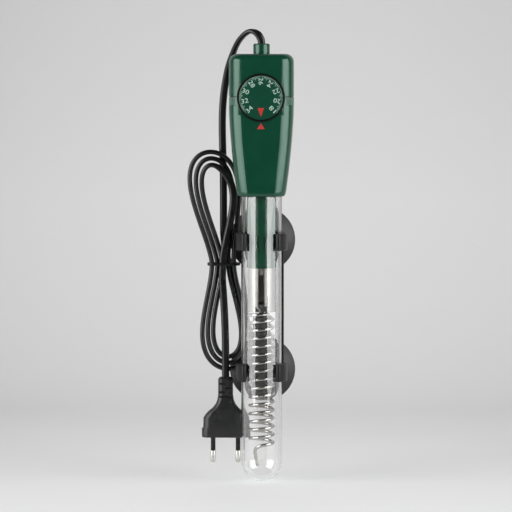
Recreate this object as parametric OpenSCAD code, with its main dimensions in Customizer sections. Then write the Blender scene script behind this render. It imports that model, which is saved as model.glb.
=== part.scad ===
// Submersible aquarium heater, held on the tank's wall by two suction cups.
// Millimetres. Origin: middle of the upper cup's rim, in the wall's plane.
// +X right, +Y into the wall, +Z up; the heater hangs in front of the wall.

/* [Glass tube] */
// Outer diameter of the glass tube
tube_d = 30; // [29:0.5:31]
// Wall of the glass tube
tube_wall = 1.3; // [1:0.1:1.5]
// Depth of the tube's round end below the upper clip's middle
tube_drop = 178; // [172:1:200]
// Length of tube held inside the head
tube_in_head = 24; // [20:1:26]

/* [Head] */
// Height of the head's lower edge above the upper clip's middle
head_low = 33.6; // [28:0.2:40]
// Width of the head at the dial
head_w = 47.7; // [47:0.1:50]
// Depth of the head at the dial, front to back
head_d = 36; // [36:0.1:37]
// Rim of the head round the tube at the lower edge
head_rim = 2.7; // [2.5:0.1:3]
// Height of the lower shell, over which the head widens
body_h = 66.9; // [64:0.1:70]
// Height of the ribbed joint band
band_h = 7; // [5:0.1:9]
// Height of the cap above the band
cap_h = 31.2; // [29:0.1:35]
// Wall of the head's shells
shell = 2.4; // [2:0.1:2.6]
// Radius of the head's upright corners at the dial
corner_r = 11; // [9:0.5:13]
// Radius of the cap's top edge
top_r = 6; // [4:0.5:7]
// Corner radius of the head at its lower rim
low_corner_r = 10; // [8:0.5:16]
// Radius of the head's lower edge
low_r = 2.2; // [1:0.1:2.4]
// Setback of the joint band behind the shells
band_inset = 0.3; // [0.2:0.1:0.5]

/* [Dial] */
// Diameter of the dial
dial_d = 32.5; // [30:0.1:33]
// Height of the dial's axis above the head's lower edge
dial_up = 73; // [71:0.1:75]
// Thickness of the dial
dial_t = 2.9; // [2:0.1:3.5]
// Wall of the black housing round the dial
ring_wall = 1.2; // [1:0.1:1.6]
// How far the housing's rim stands out of the head
ring_proud = 0.9; // [0.4:0.1:1.5]
// Gap between dial and housing
dial_gap = 0.3; // [0.25:0.05:0.5]
// Diameter of the dial's shaft
shaft_d = 6; // [5.5:0.1:6.5]
// Turn from the low stop to the hottest mark, degrees
dial_turn = 315; // [270:5:315]
// Radius on which the dial's stops lie
stop_ring_r = 13; // [12:0.1:13.5]
// Diameter of the stop pins
stop_d = 2.4; // [2:0.1:2.6]
// Travel of the push rod over the dial's turn
rod_travel = 3.15; // [2.5:0.05:3.5]
// Smallest radius of the spiral cam
cam_r = 4; // [3.8:0.1:4.5]
// Thickness of the spiral cam
cam_t = 4; // [3:0.1:5]

/* [Cord entry] */
// Diameter of the gland on top of the head
gland_d = 12.2; // [11:0.1:13]
// Height of the gland above the cap
gland_h = 7.6; // [6:0.1:9]

/* [Core] */
// Diameter of the green carrier inside the tube
carrier_d = 21.5; // [20.8:0.1:22]
// Wall of the carrier
carrier_wall = 1.6; // [1.4:0.1:1.8]
// Length of the carrier
carrier_len = 58.5; // [54:0.5:62]
// Height of the ring under the carrier
ring_h = 10.7; // [9:0.1:12]
// Diameter of the metal sleeve
sleeve_d = 20.7; // [20.4:0.1:21.2]
// Sheet thickness of the metal sleeve
sleeve_wall = 0.6; // [0.5:0.05:0.7]
// Length of the metal sleeve
sleeve_len = 32.6; // [31:0.1:36]
// Width of the sleeve's slot
slot_w = 4.2; // [4:0.1:6]
// Diameter of the push rod
rod_d = 3; // [2.6:0.1:3.2]
// Diameter of the insulated lead wires
wire_d = 2; // [1.6:0.1:2.2]
// Distance of the lead wires from the tube's axis
wire_out = 6.5; // [6:0.1:6.8]
// Thickness of the switch's spring strips
strip_t = 0.8; // [0.6:0.1:1]
// Width of the switch's spring strips
strip_w = 4.8; // [4:0.1:5.2]
// Distance of the switch's strips from the tube's axis
strip_out = 3.5; // [3.2:0.1:3.8]

/* [Heating coil] */
// Outer diameter of the heating coil
coil_d = 19.8; // [18:0.1:21]
// Diameter of the coil's sheathed wire
element_d = 2.6; // [2:0.1:2.8]
// Rise of one turn
coil_pitch = 6.1; // [5.5:0.1:6.5]
// Number of turns
coil_turns = 15.5; // [14:0.5:16]
// Space between the coil and the ceramic rod inside it
core_gap = 0.8; // [0.7:0.1:2]
// Length of the ceramic rod
core_len = 58; // [40:1:80]

/* [Clips and cups] */
// Distance between the two clips
clip_pitch = 97; // [90:1:110]
// Height of a clip
clip_h = 12.7; // [11:0.1:15]
// Wall of a clip
clip_wall = 4.1; // [4:0.1:4.4]
// Half of the clip's opening, degrees either side of the front
clip_open = 48; // [35:1:50]
// Clearance round the tube in its clips
clip_fit = 0.1; // [0.05:0.01:0.15]
// Thickness of the rail between the clips
rail_t = 1.8; // [1.4:0.1:2]
// Width of the rail, front to back
rail_w = 3; // [2.4:0.1:3.2]
// How deep the rail plugs into a clip
rail_in = 3; // [2:0.5:5]
// Diameter of a suction cup
cup_d = 48.8; // [46:0.1:49.6]
// Height of a suction cup from its rim to its shoulder
cup_h = 10; // [9.6:0.1:11]
// Thickness of the cup's rubber
cup_skin = 1.7; // [1.4:0.1:2]
// Diameter of the cup's neck
neck_d = 7.8; // [7:0.1:8.4]
// Diameter of the cup's button
button_d = 11.4; // [10.4:0.1:11.8]
// Thickness of the cup's button
button_t = 2.4; // [2:0.1:2.6]
// Plastic held between the cup's shoulder and its button
socket_web = 2.6; // [2:0.1:3]
// Depth of the socket in front of that plastic
socket_depth = 5.1; // [4.6:0.1:6]
// Diameter of the boss behind a clip
boss_d = 16; // [15:0.1:16.4]

/* [Plug] */
// Distance between the plug's pins
pin_pitch = 18.6; // [18:0.1:19]
// Diameter of a plug pin
pin_d = 4; // [3.8:0.1:4]
// Length of a plug pin
pin_len = 19; // [18:0.5:20]
// Length of a pin's insulating sleeve
pin_sleeve = 10; // [9:0.5:11]

/* [Cord] */
// Width of the flat cord
cord_w = 5.5; // [5.3:0.1:5.6]
// Thickness of the flat cord
cord_t = 3.5; // [3.2:0.1:3.6]

/* [Hidden] */
$fn = 64;

// Clearances between pieces that fit into each other
run = 0.05;
fit = 0.1;
play = 0.2;
gap = 0.3;
eps = 0.01;

// Tube
standoff = cup_h + play + socket_web + socket_depth + clip_fit;
axis_y = -(standoff + tube_d / 2);
tube_r = tube_d / 2;
bore_r = tube_r - tube_wall;
tube_top = head_low + tube_in_head;

// Head
body_top = head_low + body_h;
band_top = body_top + band_h;
cap_top = band_top + cap_h;
corner_steps = 8;
widen_power = 1.55;
front_y = axis_y - head_d / 2;
dial_z = head_low + dial_up;
ring_r = dial_d / 2 + dial_gap + ring_wall;
ring_face_y = front_y - ring_proud;
dial_face_y = ring_face_y + gap;
dial_back_y = dial_face_y + dial_t;
floor_gap = 1.5;
floor_y = dial_back_y + floor_gap;
floor_t = 2;
hub_reach = 4.3;
hub_end_y = floor_y + floor_t + hub_reach;
hub_wall = 2.5;
hub_d = shaft_d + 2 * hub_wall;
stop_reach = 1.2;
seal_t = 0.9;
clip_groove_d = shaft_d - 1;
clip_t = 0.7;
cam_y = axis_y - cam_t / 2;
shaft_end_y = axis_y + cam_t / 2 + 0.5;
shaft_tip_d = shaft_d - 1;
flat_cut = 0.8;
cam_slope = rod_travel / dial_turn;

// Cord entry
gland_bore = cord_w + 0.4;
gland_stem_d = gland_d - 3.4;
gland_stem = shell + 2.6;
seal_wall = 0.8;
clamp_w = 20;
clamp_d = 9;
clamp_h = 6;
clamp_top = cap_top - shell - 5;
clamp_low = clamp_top - clamp_h;
boss_x = 7.3;
screw_d = 2.6;
screw_head = 5;
screw_in = 4;

// Core, from the stopper downwards
stopper_in = 8;
spigot = 6;
flange_t = 3;
seal_h = 10;
seal_wide = 1.5;
carrier_bore = carrier_d - 2 * carrier_wall;
carrier_top = tube_top - stopper_in;
carrier_low = carrier_top - carrier_len;
ring_low = carrier_low - ring_h;
ring_floor = 3;
ring_spigot = 4;
base_h = 5;
base_low = ring_low - base_h;
sleeve_low = ring_low - sleeve_len;
sleeve_bore = sleeve_d - 2 * sleeve_wall;
plug_h = 5.6;
plug_low = sleeve_low + 0.4;
rod_reach = 5.5;
rod_low = base_low - rod_reach;
rod_top = dial_z - cam_r - gap;
spring_len = 16;
collar_z = tube_top + flange_t + spring_len;
spring_d = 6.4;
spring_wire = 0.8;
spring_turns = 7;
strip_end = 3;
strip_len = sleeve_len - base_h - plug_h - strip_end;
contact_z = base_low - strip_len + 5.6;
contact_d = 2.6;
magnet_h = 2.6;
strip_gap = 0.3;

// Heating coil
coil_r = (coil_d - element_d) / 2;
coil_top = sleeve_low - 2.4;
coil_len = coil_pitch * coil_turns;
coil_in_r = 4;
core_top = coil_top - 2;
core_d = coil_d - 2 * element_d - 2 * core_gap;
core_stem_d = 4;
core_stem_in = 2.5;
coil_in_z = plug_low + 4;
wire_wide = 10.5;
wire_back = 3.5;
core_out = cord_w / 4;
ring_sides = 6;
curl_rings = 8;

// Clips and cups
clip_r = tube_r + clip_fit;
clip_out = clip_r + clip_wall;
boss_face_y = -(cup_h + play);
web_y = boss_face_y - socket_web;
socket_d = button_d + 0.6;
neck_hole = neck_d + 2 * fit;
rail_x = tube_r + 0.5;
rail_y = axis_y + tube_r * 0.49;
cup_r = cup_d / 2;
shoulder_wide = 3;
shoulder_r = neck_d / 2 + shoulder_wide;
rim_land = 1.8;
rim_edge = 1;
hollow = 5.6;

// Cord: hank round a tied waist
waist_x = -29.2;
waist_z = -17.8;
hank_y = -11.1;
back_y = -5.9;
front_cord_y = -16.3;
up_lean = -0.108;
low_lean = -0.048;
laps = 3;
lap_step = 4.1;
low_w = 13.8;
low_w_step = 1.95;
low_h = 79.6;
low_h_step = 4.6;
up_w = 15.3;
up_w_step = 2.2;
up_h = 87.1;
up_h_step = 4.8;
drop_power = 2.1;
spread = 12;
hank_start = 0.21;
climb_from = 2.6;
climb_to = 2.74;
turn_from = 2.72;
turn_to = 2.85;
drift = 4.4;
drift_from = 2.76;
drift_to = 2.86;
drift_end = 2.985;
loop_rings = 48;

// Plug
plug_x = -27.2;
plug_y = -16.2;
plug_top = -101.8;
plug_face = -146.8;
pin_core = 2.4;
sleeve_step = 0.5;

green = [0.118, 0.275, 0.204];
black = [0.09, 0.09, 0.09];
grey = [0.16, 0.16, 0.165];
red = [0.72, 0.16, 0.15];
steel = [0.72, 0.72, 0.70];
brass = [0.74, 0.62, 0.36];
ceramic = [0.80, 0.77, 0.70];

// ---------- shared functions and modules ----------

// Corners of a rounded rectangle, anticlockwise
function outline(w, d, r, steps) =
    [for (c = [0 : 3]) for (i = [0 : steps])
        let (a = 90 * c + 90 * i / steps)
        [(c == 0 || c == 3 ? 1 : -1) * (w / 2 - r) + r * cos(a),
         (c < 2 ? 1 : -1) * (d / 2 - r) + r * sin(a)]];

// Side faces between stacked rings of m points, and the two end faces
function skin(rings, m) = concat(
    [[for (i = [0 : m - 1]) i]],
    [for (k = [0 : rings - 2]) for (i = [0 : m - 1]) for (half = [0, 1])
        let (a = k * m + i, b = k * m + (i + 1) % m)
        half == 0 ? [a, a + m, b + m] : [a, b + m, b]],
    [[for (i = [m - 1 : -1 : 0]) (rings - 1) * m + i]]);

// Solid through level rounded rectangles, each [height, width, depth, corner radius]
module loft(levels, steps) {
    points = [for (s = levels) for (p = outline(s[1], s[2], s[3], steps)) [p.x, p.y, s[0]]];
    polyhedron(points, skin(len(levels), 4 * (steps + 1)), convexity = 6);
}

function unit(v) = v / norm(v);
function heading(route, i) =
    unit(route_point(route, min(i + 1, len(route) - 1)) - route_point(route, max(i - 1, 0)));
function route_point(route, i) = [route[i][0], route[i][1], route[i][2]];

// Ring of a swept section: the section's first axis is turned route[i][3] degrees from +X
function swept_ring(route, i, section) =
    let (t = heading(route, i), a = route[i][3], ref = [cos(a), sin(a), 0],
         u = unit(ref - (ref * t) * t), v = cross(t, u))
    [for (s = section) route_point(route, i) + s.x * u + s.y * v];

function swept_points(route, section) =
    [for (i = [0 : len(route) - 1]) for (p = swept_ring(route, i, section)) p];

// Solid swept along a route of [x, y, z, turn] points
module tube(route, section) {
    polyhedron(swept_points(route, section), skin(len(route), len(section)), convexity = 10);
}

// Sections of the flat cord and of round wire
cord_section8 = [[cord_w / 2, cord_t * 0.22], [cord_w * 0.28, cord_t / 2],
                 [-cord_w * 0.28, cord_t / 2], [-cord_w / 2, cord_t * 0.22],
                 [-cord_w / 2, -cord_t * 0.22], [-cord_w * 0.28, -cord_t / 2],
                 [cord_w * 0.28, -cord_t / 2], [cord_w / 2, -cord_t * 0.22]];
cord_section6 = [[cord_w / 2, 0], [cord_w * 0.3, cord_t / 2], [-cord_w * 0.3, cord_t / 2],
                 [-cord_w / 2, 0], [-cord_w * 0.3, -cord_t / 2], [cord_w * 0.3, -cord_t / 2]];
function round_section(d, sides) =
    [for (i = [0 : sides - 1]) [d / 2 * cos(360 * i / sides), d / 2 * sin(360 * i / sides)]];

// Ease from 0 to 1 between two values
function ease(x, from, to) =
    let (t = min(1, max(0, (x - from) / (to - from)))) t * t * (3 - 2 * t);

// Puts a shape drawn along +Z onto an axis along +Y at (x, z), starting at y
module along_y(x, y, z) {
    translate([x, y, z]) rotate([-90, 0, 0]) children();
}

module at_axis() {
    translate([0, axis_y, 0]) children();
}

// ---------- head ----------

// Size of the head at height z, shrunk all round by inset
function widening(z) = 1 - pow(1 - min(1, max(0, (z - head_low) / body_h)), widen_power);
function rim_size() = tube_d + 2 * head_rim;
function head_level(z, inset) =
    let (s = widening(z), low = rim_size(), w = low + (head_w - low) * s,
         d = low + (head_d - low) * s, r = low_corner_r + (corner_r - low_corner_r) * s)
    [z, w - 2 * inset, d - 2 * inset, max(1, r - inset)];

function body_levels() = concat(
    [for (a = [0, 30, 60]) let (inset = low_r * (1 - sin(a)), up = low_r * (1 - cos(a)))
        let (s = head_level(head_low + up, inset)) s],
    [for (k = [0.06, 0.12, 0.2, 0.3, 0.4, 0.5, 0.6, 0.7, 0.8, 0.9, 1])
        head_level(head_low + k * body_h, 0)]);

function cap_levels(inset) = concat(
    [head_level(band_top - (inset > 0 ? 1 : 0), inset)],
    [for (a = [0 : 15 : 90])
        let (fall = (top_r - inset / 2) * (1 - sin(90 - a)),
             up = (top_r - inset / 2) * sin(a))
        head_level(cap_top - inset - top_r + inset / 2 + up, inset + fall)]);

module dial_hole() {
    along_y(0, front_y - 20, dial_z) cylinder(r = ring_r + run, h = 20 + (hub_end_y - front_y));
}

module head_body() {
    color(green) difference() {
        at_axis() loft(body_levels(), corner_steps);
        at_axis() loft([head_level(tube_top + flange_t + 1, shell),
                        head_level(head_low + 0.75 * body_h, shell),
                        head_level(body_top + 1, shell)], corner_steps);
        at_axis() translate([0, 0, head_low - 1])
            cylinder(r = tube_r + fit, h = tube_in_head + flange_t + 4);
        at_axis() translate([0, 0, tube_top - seal_h - 2])
            cylinder(r = tube_r + seal_wide + run, h = seal_h + flange_t + 4);
        dial_hole();
        pointer_shape(0);
    }
}

module head_cap() {
    color(green) difference() {
        union() {
            difference() {
                at_axis() loft(cap_levels(0), corner_steps);
                at_axis() loft(cap_levels(shell), corner_steps);
            }
            at_axis() for (side = [-1, 1]) translate([side * boss_x, 0, clamp_top])
                cylinder(d = 6, h = cap_top - clamp_top - shell / 2);
        }
        dial_hole();
        at_axis() translate([0, 0, clamp_top - 1]) cylinder(d = gland_stem_d + 2 * run, h = 20);
        at_axis() for (side = [-1, 1]) translate([side * boss_x, 0, clamp_top - 1])
            cylinder(d = screw_d + 2 * run, h = screw_in + 1.5);
    }
}

// Ribbed band between cap and body, with lips that locate both shells
module joint_collar() {
    lip = 3;
    lip_wall = 1.4;
    color(green) difference() {
        at_axis() union() {
            loft([head_level(body_top, band_inset), head_level(band_top, band_inset)],
                 corner_steps);
            loft([head_level(body_top - lip, shell + fit), head_level(band_top + lip, shell + fit)],
                 corner_steps);
        }
        at_axis() loft([head_level(body_top - lip - 1, shell + fit + lip_wall),
                        head_level(band_top + lip + 1, shell + fit + lip_wall)], corner_steps);
        dial_hole();
    }
}

// ---------- dial ----------

module dial_housing() {
    color(black) difference() {
        union() {
            along_y(0, ring_face_y, dial_z) cylinder(r = ring_r, h = floor_y + floor_t - ring_face_y);
            along_y(0, floor_y, dial_z) cylinder(d = hub_d, h = hub_end_y - floor_y);
        }
        difference() {
            along_y(0, ring_face_y - 1, dial_z)
                cylinder(r = ring_r - ring_wall, h = floor_y - ring_face_y + 1);
            stop_pin(12, floor_y, stop_reach);
            stop_pin(360 - dial_turn - 12, floor_y, stop_reach);
        }
        along_y(0, floor_y - 1, dial_z) cylinder(d = shaft_d + 2 * run, h = 20);
        along_y(0, floor_y - 1, dial_z) cylinder(r = shaft_d / 2 + seal_t + 2 * run, h = 1 + seal_t + fit);
    }
}

// Stop pin reaching forwards from y, at an angle right of the dial's lowest point
module stop_pin(angle, y, len) {
    along_y(stop_ring_r * sin(angle), y - len, dial_z - stop_ring_r * cos(angle))
        cylinder(d = stop_d, h = len + eps);
}

module dial() {
    color(green) difference() {
        union() {
            along_y(0, dial_face_y, dial_z) cylinder(r = dial_d / 2, h = dial_t);
            along_y(0, dial_back_y - eps, dial_z - stop_ring_r) cylinder(d = stop_d, h = stop_reach);
        }
        dial_mark(0);
        along_y(0, dial_back_y - 1.2, dial_z) cylinder(d = shaft_d + 2 * run, h = 5);
    }
}

// Red triangle let into the dial's face, point down
module dial_mark(proud) {
    depth = 0.5;
    translate([0, dial_face_y + depth, dial_z]) rotate([90, 0, 0])
        linear_extrude(depth + proud + (proud > 0 ? 0 : 1))
            polygon([[0, -dial_d * 0.437], [dial_d * 0.074, -dial_d * 0.234],
                     [-dial_d * 0.074, -dial_d * 0.234]]);
}

module dial_pointer() {
    color(red) dial_mark(0.1);
}

// Red triangle let into the head under the dial, point up
module pointer_shape(proud) {
    depth = 0.6;
    tip = dial_z - ring_r - 0.9;
    translate([0, front_y + depth, tip]) rotate([90, 0, 0])
        linear_extrude(depth + proud + (proud > 0 ? 0 : 2))
            polygon([[0, 0], [-2.8, -4.4], [2.8, -4.4]]);
}

module head_pointer() {
    color(red) pointer_shape(0.15);
}

module dial_shaft() {
    color(steel) difference() {
        union() {
            along_y(0, dial_back_y - 1.1, dial_z)
                cylinder(d = shaft_d, h = hub_end_y + 1.4 - dial_back_y + 1.1);
            along_y(0, hub_end_y, dial_z) cylinder(d = shaft_tip_d, h = shaft_end_y - hub_end_y);
        }
        along_y(0, hub_end_y + fit, dial_z) difference() {
            cylinder(d = shaft_d + 1, h = clip_t + fit);
            translate([0, 0, -1]) cylinder(d = clip_groove_d, h = clip_t + 3);
        }
        translate([-shaft_d, cam_y - 0.5, dial_z + shaft_tip_d / 2 - flat_cut])
            cube([2 * shaft_d, cam_t + 5, shaft_d]);
    }
}

module shaft_seal() {
    color(black) along_y(0, floor_y + seal_t / 2 + fit / 2, dial_z)
        rotate_extrude() translate([shaft_d / 2 + seal_t / 2, 0]) circle(d = seal_t);
}

module shaft_clip() {
    color(steel) along_y(0, hub_end_y + fit + fit / 2, dial_z) difference() {
        cylinder(d = shaft_d + 3, h = clip_t);
        translate([0, 0, -1]) cylinder(d = clip_groove_d, h = clip_t + 2);
        translate([-1.6, 0, -1]) cube([3.2, shaft_d, clip_t + 2]);
    }
}

// Spiral cam: its radius under the shaft grows steadily as the dial turns up
module dial_cam() {
    lead = 15;
    spiral = [for (a = [-lead : 15 : dial_turn + lead])
        let (r = cam_r + cam_slope * min(dial_turn, max(0, a)), b = a - 90)
        [r * cos(b), r * sin(b)]];
    color("white") difference() {
        translate([0, cam_y + cam_t, dial_z]) rotate([90, 0, 0]) linear_extrude(cam_t) polygon(spiral);
        difference() {
            along_y(0, cam_y - 1, dial_z) cylinder(d = shaft_tip_d + 2 * run, h = cam_t + 2);
            translate([-shaft_d, cam_y - 2, dial_z + shaft_tip_d / 2 - flat_cut + run])
                cube([2 * shaft_d, cam_t + 4, shaft_d]);
        }
    }
}

// ---------- cord entry ----------

module cord_gland() {
    edge = 1.2;
    color(green) at_axis() difference() {
        union() {
            translate([0, 0, cap_top]) cylinder(d = gland_d, h = gland_h - edge);
            translate([0, 0, cap_top + gland_h - edge]) rotate_extrude() {
                square([gland_d / 2 - edge, edge]);
                intersection() {
                    translate([gland_d / 2 - edge, 0]) circle(r = edge);
                    square([gland_d / 2, edge]);
                }
            }
            translate([0, 0, cap_top - gland_stem]) cylinder(d = gland_stem_d, h = gland_stem + 1);
        }
        translate([0, 0, cap_top - gland_stem - 1]) cylinder(d = gland_bore, h = 30);
        translate([0, 0, cap_top - gland_stem - 1])
            cylinder(d = gland_bore + 2 * seal_wall + 2 * run, h = gland_stem + 2);
    }
}

module gland_seal() {
    color(black) at_axis() translate([0, 0, cap_top - gland_stem]) difference() {
        cylinder(d = gland_bore + 2 * seal_wall, h = gland_stem + 0.9);
        translate([0, 0, -1]) cylinder(d = gland_bore, h = gland_stem + 3);
    }
}

module cord_clamp() {
    color(black) at_axis() difference() {
        translate([-clamp_w / 2, -clamp_d / 2, clamp_low]) cube([clamp_w, clamp_d, clamp_h]);
        translate([-cord_w / 2 - fit, -cord_t / 2 - fit, clamp_low - 1])
            cube([cord_w + 2 * fit, cord_t + 2 * fit, clamp_h + 2]);
        for (side = [-1, 1]) translate([side * boss_x, 0, clamp_low - 1])
            cylinder(d = screw_d + 2 * fit, h = clamp_h + 2);
    }
}

module clamp_screws() {
    color(steel) at_axis() for (side = [-1, 1]) translate([side * boss_x, 0, clamp_low]) {
        difference() {
            translate([0, 0, -1.8]) cylinder(d = screw_head, h = 1.8);
            translate([-screw_head, -0.4, -2.8]) cube([2 * screw_head, 0.8, 1.8]);
        }
        translate([0, 0, -eps]) cylinder(d = screw_d, h = clamp_h + screw_in);
    }
}

// ---------- tube and core ----------

module glass_tube() {
    end_z = -tube_drop + tube_r;
    color([0.85, 0.9, 0.9, 0.35]) at_axis() difference() {
        union() {
            translate([0, 0, end_z]) cylinder(r = tube_r, h = tube_top - end_z);
            translate([0, 0, end_z]) sphere(r = tube_r);
        }
        translate([0, 0, end_z]) cylinder(r = bore_r, h = tube_top - end_z + 1);
        translate([0, 0, end_z]) sphere(r = bore_r);
    }
}

module tube_seal() {
    color(black) at_axis() translate([0, 0, tube_top - seal_h]) difference() {
        cylinder(r = tube_r + seal_wide, h = seal_h);
        translate([0, 0, -1]) cylinder(r = tube_r + run, h = seal_h + 2);
    }
}

module tube_stopper() {
    color(black) at_axis() difference() {
        union() {
            translate([0, 0, tube_top]) cylinder(r = tube_r + seal_wide, h = flange_t);
            translate([0, 0, tube_top - stopper_in]) cylinder(r = bore_r - run, h = stopper_in + eps);
            translate([0, 0, tube_top - stopper_in - spigot])
                cylinder(d = carrier_bore - 2 * run, h = spigot + eps);
        }
        core_holes(tube_top - stopper_in - spigot - 1, tube_top + flange_t + 1);
    }
}

// Holes for the push rod and the two lead wires
module core_holes(from, to) {
    translate([0, 0, from]) cylinder(d = rod_d + 2 * fit, h = to - from);
    for (side = [-1, 1]) translate([side * wire_out, 0, from])
        cylinder(d = wire_d + 0.4, h = to - from);
}

module thermostat_carrier() {
    tongue_w = 4.3;
    tongue_h = 12.6;
    cut = 0.8;
    color(green) difference() {
        at_axis() translate([0, 0, carrier_low]) difference() {
            cylinder(d = carrier_d, h = carrier_len);
            translate([0, 0, -1]) cylinder(d = carrier_bore, h = carrier_len + 2);
        }
        for (side = [-1, 1])
            translate([side * tongue_w / 2 - cut / 2, axis_y - carrier_d, carrier_low + 1])
                cube([cut, carrier_d, tongue_h]);
    }
}

module carrier_ring() {
    color(green) at_axis() difference() {
        union() {
            translate([0, 0, ring_low]) cylinder(d = carrier_d, h = ring_h);
            translate([0, 0, carrier_low - eps])
                cylinder(d = carrier_bore - 2 * run, h = ring_spigot);
        }
        translate([0, 0, ring_low + ring_floor])
            cylinder(d = carrier_bore - 3, h = ring_h + ring_spigot);
        core_holes(ring_low - 1, ring_low + ring_h);
    }
}

module thermostat_base() {
    color(ceramic) at_axis() difference() {
        translate([0, 0, base_low]) cylinder(d = sleeve_bore - 2 * run, h = base_h);
        core_holes(base_low - 1, ring_low + 1);
    }
}

module metal_sleeve() {
    slot_top = ring_low - 0.01;
    slot_low = sleeve_low + 3;
    color(steel) difference() {
        at_axis() translate([0, 0, sleeve_low]) difference() {
            cylinder(d = sleeve_d, h = sleeve_len);
            translate([0, 0, -1]) cylinder(d = sleeve_bore, h = sleeve_len + 2);
            translate([0, 0, sleeve_len * 0.62]) difference() {
                cylinder(d = sleeve_d + 2, h = 0.5);
                translate([0, 0, -1]) cylinder(d = sleeve_d - 0.3, h = 3);
            }
        }
        translate([-slot_w / 2, axis_y - sleeve_d, slot_low])
            cube([slot_w, sleeve_d, slot_top - slot_low + 1]);
    }
}

module ceramic_plug() {
    color(ceramic) at_axis() difference() {
        translate([0, 0, plug_low]) cylinder(d = sleeve_bore - 2 * run, h = plug_h);
        translate([coil_in_r, 0, plug_low - 1]) cylinder(d = element_d + 2 * fit, h = 5.2);
        translate([0, 0, plug_low - 1]) cylinder(d = core_stem_d + 2 * run, h = core_stem_in + 1 + run);
    }
}

// Ceramic rod inside the coil, hanging by its stem from the ceramic plug
module coil_core() {
    color(ceramic) at_axis() rotate_extrude() polygon([
        [0, core_top - core_len], [core_d / 2, core_top - core_len], [core_d / 2, core_top],
        [core_stem_d / 2, core_top], [core_stem_d / 2, plug_low + core_stem_in],
        [0, plug_low + core_stem_in]
    ]);
}

// Flat spring strip hanging from the ceramic base, at distance y from the tube's axis
module strip(y, top, len) {
    translate([-strip_w / 2, axis_y + y - strip_t / 2, top - len]) cube([strip_w, strip_t, len]);
}

module bimetal_arm() {
    color(brass) strip(-strip_out, base_low - strip_gap, strip_len);
}

module moving_contact() {
    back = strip_out - strip_t / 2;
    color(brass) along_y(0, axis_y - back, contact_z) cylinder(d = contact_d, h = back - run);
}

module fixed_contact() {
    back = strip_out - strip_t / 2;
    color(brass) union() {
        strip(strip_out, base_low, strip_len - 1);
        along_y(0, axis_y + run, contact_z) cylinder(d = contact_d, h = back - run + strip_t / 2);
    }
}

module snap_magnet() {
    top = base_low - strip_len + 1;
    color(grey) translate([-2, axis_y - strip_out + strip_t / 2 + 0.8, top - magnet_h + 0.9])
        cube([4, 2 * strip_out - strip_t - 0.8, magnet_h - 0.9]);
}

module push_rod() {
    color("white") at_axis() union() {
        translate([0, 0, rod_low]) cylinder(d = rod_d, h = rod_top - rod_d / 2 - rod_low);
        translate([0, 0, rod_top - rod_d / 2]) sphere(d = rod_d);
        translate([0, 0, collar_z]) cylinder(d = spring_d, h = 1.5);
    }
}

// Helix from z up, as route points [x, y, z, turn] round the tube's axis
function helix(r, low, rise, turns, rings) =
    [for (i = [0 : turns * rings])
        let (a = 360 * i / rings)
        [r * cos(a), axis_y + r * sin(a), low + rise * i / (turns * rings), a]];

module rod_spring() {
    low = tube_top + flange_t + spring_wire / 2 + run;
    rise = collar_z - spring_wire - tube_top - flange_t - 2 * run;
    color(steel) tube(helix((spring_d - spring_wire) / 2, low, rise, spring_turns, curl_rings),
                      round_section(spring_wire, ring_sides));
}

// Heating coil: straight up into the ceramic plug, round the helix, then the free tail
function coil_angle(turn) = 180 - 360 * turn;
coil_lead = [for (k = [0 : 6])
    let (t = k / 6, a = coil_angle(0) + 180 * (1 - t * t), s = t * t * (3 - 2 * t),
         r = coil_in_r + (coil_r - coil_in_r) * s)
    [r * cos(a), axis_y + r * sin(a), coil_top + 1.2 * (1 - t), a]];
coil_body = [for (i = [1 : coil_turns * curl_rings])
    let (a = coil_angle(i / curl_rings))
    [coil_r * cos(a), axis_y + coil_r * sin(a), coil_top - coil_pitch * i / curl_rings, a]];
coil_tail = [for (k = [1 : 8])
    let (t = k / 8, a = coil_angle(coil_turns) - 165 * (1 - pow(1 - t, 2)),
         r = coil_r - 3.6 * t * t * (3 - 2 * t) - 2 * pow(t, 4))
    [r * cos(a), axis_y + r * sin(a), coil_top - coil_len - 4.5 * t - 13 * pow(t, 3), a]];

function coil_route() = concat(
    [[coil_in_r, axis_y, coil_in_z, 0], [coil_in_r, axis_y, coil_in_z - element_d, 0]],
    [for (k = [0 : 6]) coil_lead[k]], coil_body, coil_tail);

module heating_coil() {
    color(steel) tube(coil_route(), round_section(element_d, ring_sides));
}

// The two insulated wires, from the clamp past the dial's works into the core
module lead_wires() {
    step = 12;
    for (side = [-1, 1]) {
        route = [for (p = [[wire_out, 0, ring_low + fit], [wire_out, 0, carrier_low],
                           [wire_out, 0, carrier_top], [wire_out, 0, tube_top + flange_t + fit],
                           [wire_wide, wire_back, tube_top + step],
                           [wire_wide, wire_back, dial_z - step], [wire_wide, wire_back, dial_z],
                           [wire_wide, wire_back, clamp_low - step],
                           [wire_out, 0, clamp_low - step / 2],
                           [core_out, 0, lead_points[0].z - wire_d],
                           [core_out, 0, lead_points[0].z]])
            [side * p[0], axis_y + p[1], p[2], 90]];
        color(side > 0 ? [0.15, 0.35, 0.75] : [0.45, 0.28, 0.16])
            tube(route, round_section(wire_d, 8));
    }
}

module suppressor() {
    color([0.8, 0.7, 0.2]) translate([-6, axis_y + head_d / 2 - shell - 5.4, tube_top + 10])
        cube([12, 5, 11]);
}

// ---------- clips and cups ----------

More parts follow.
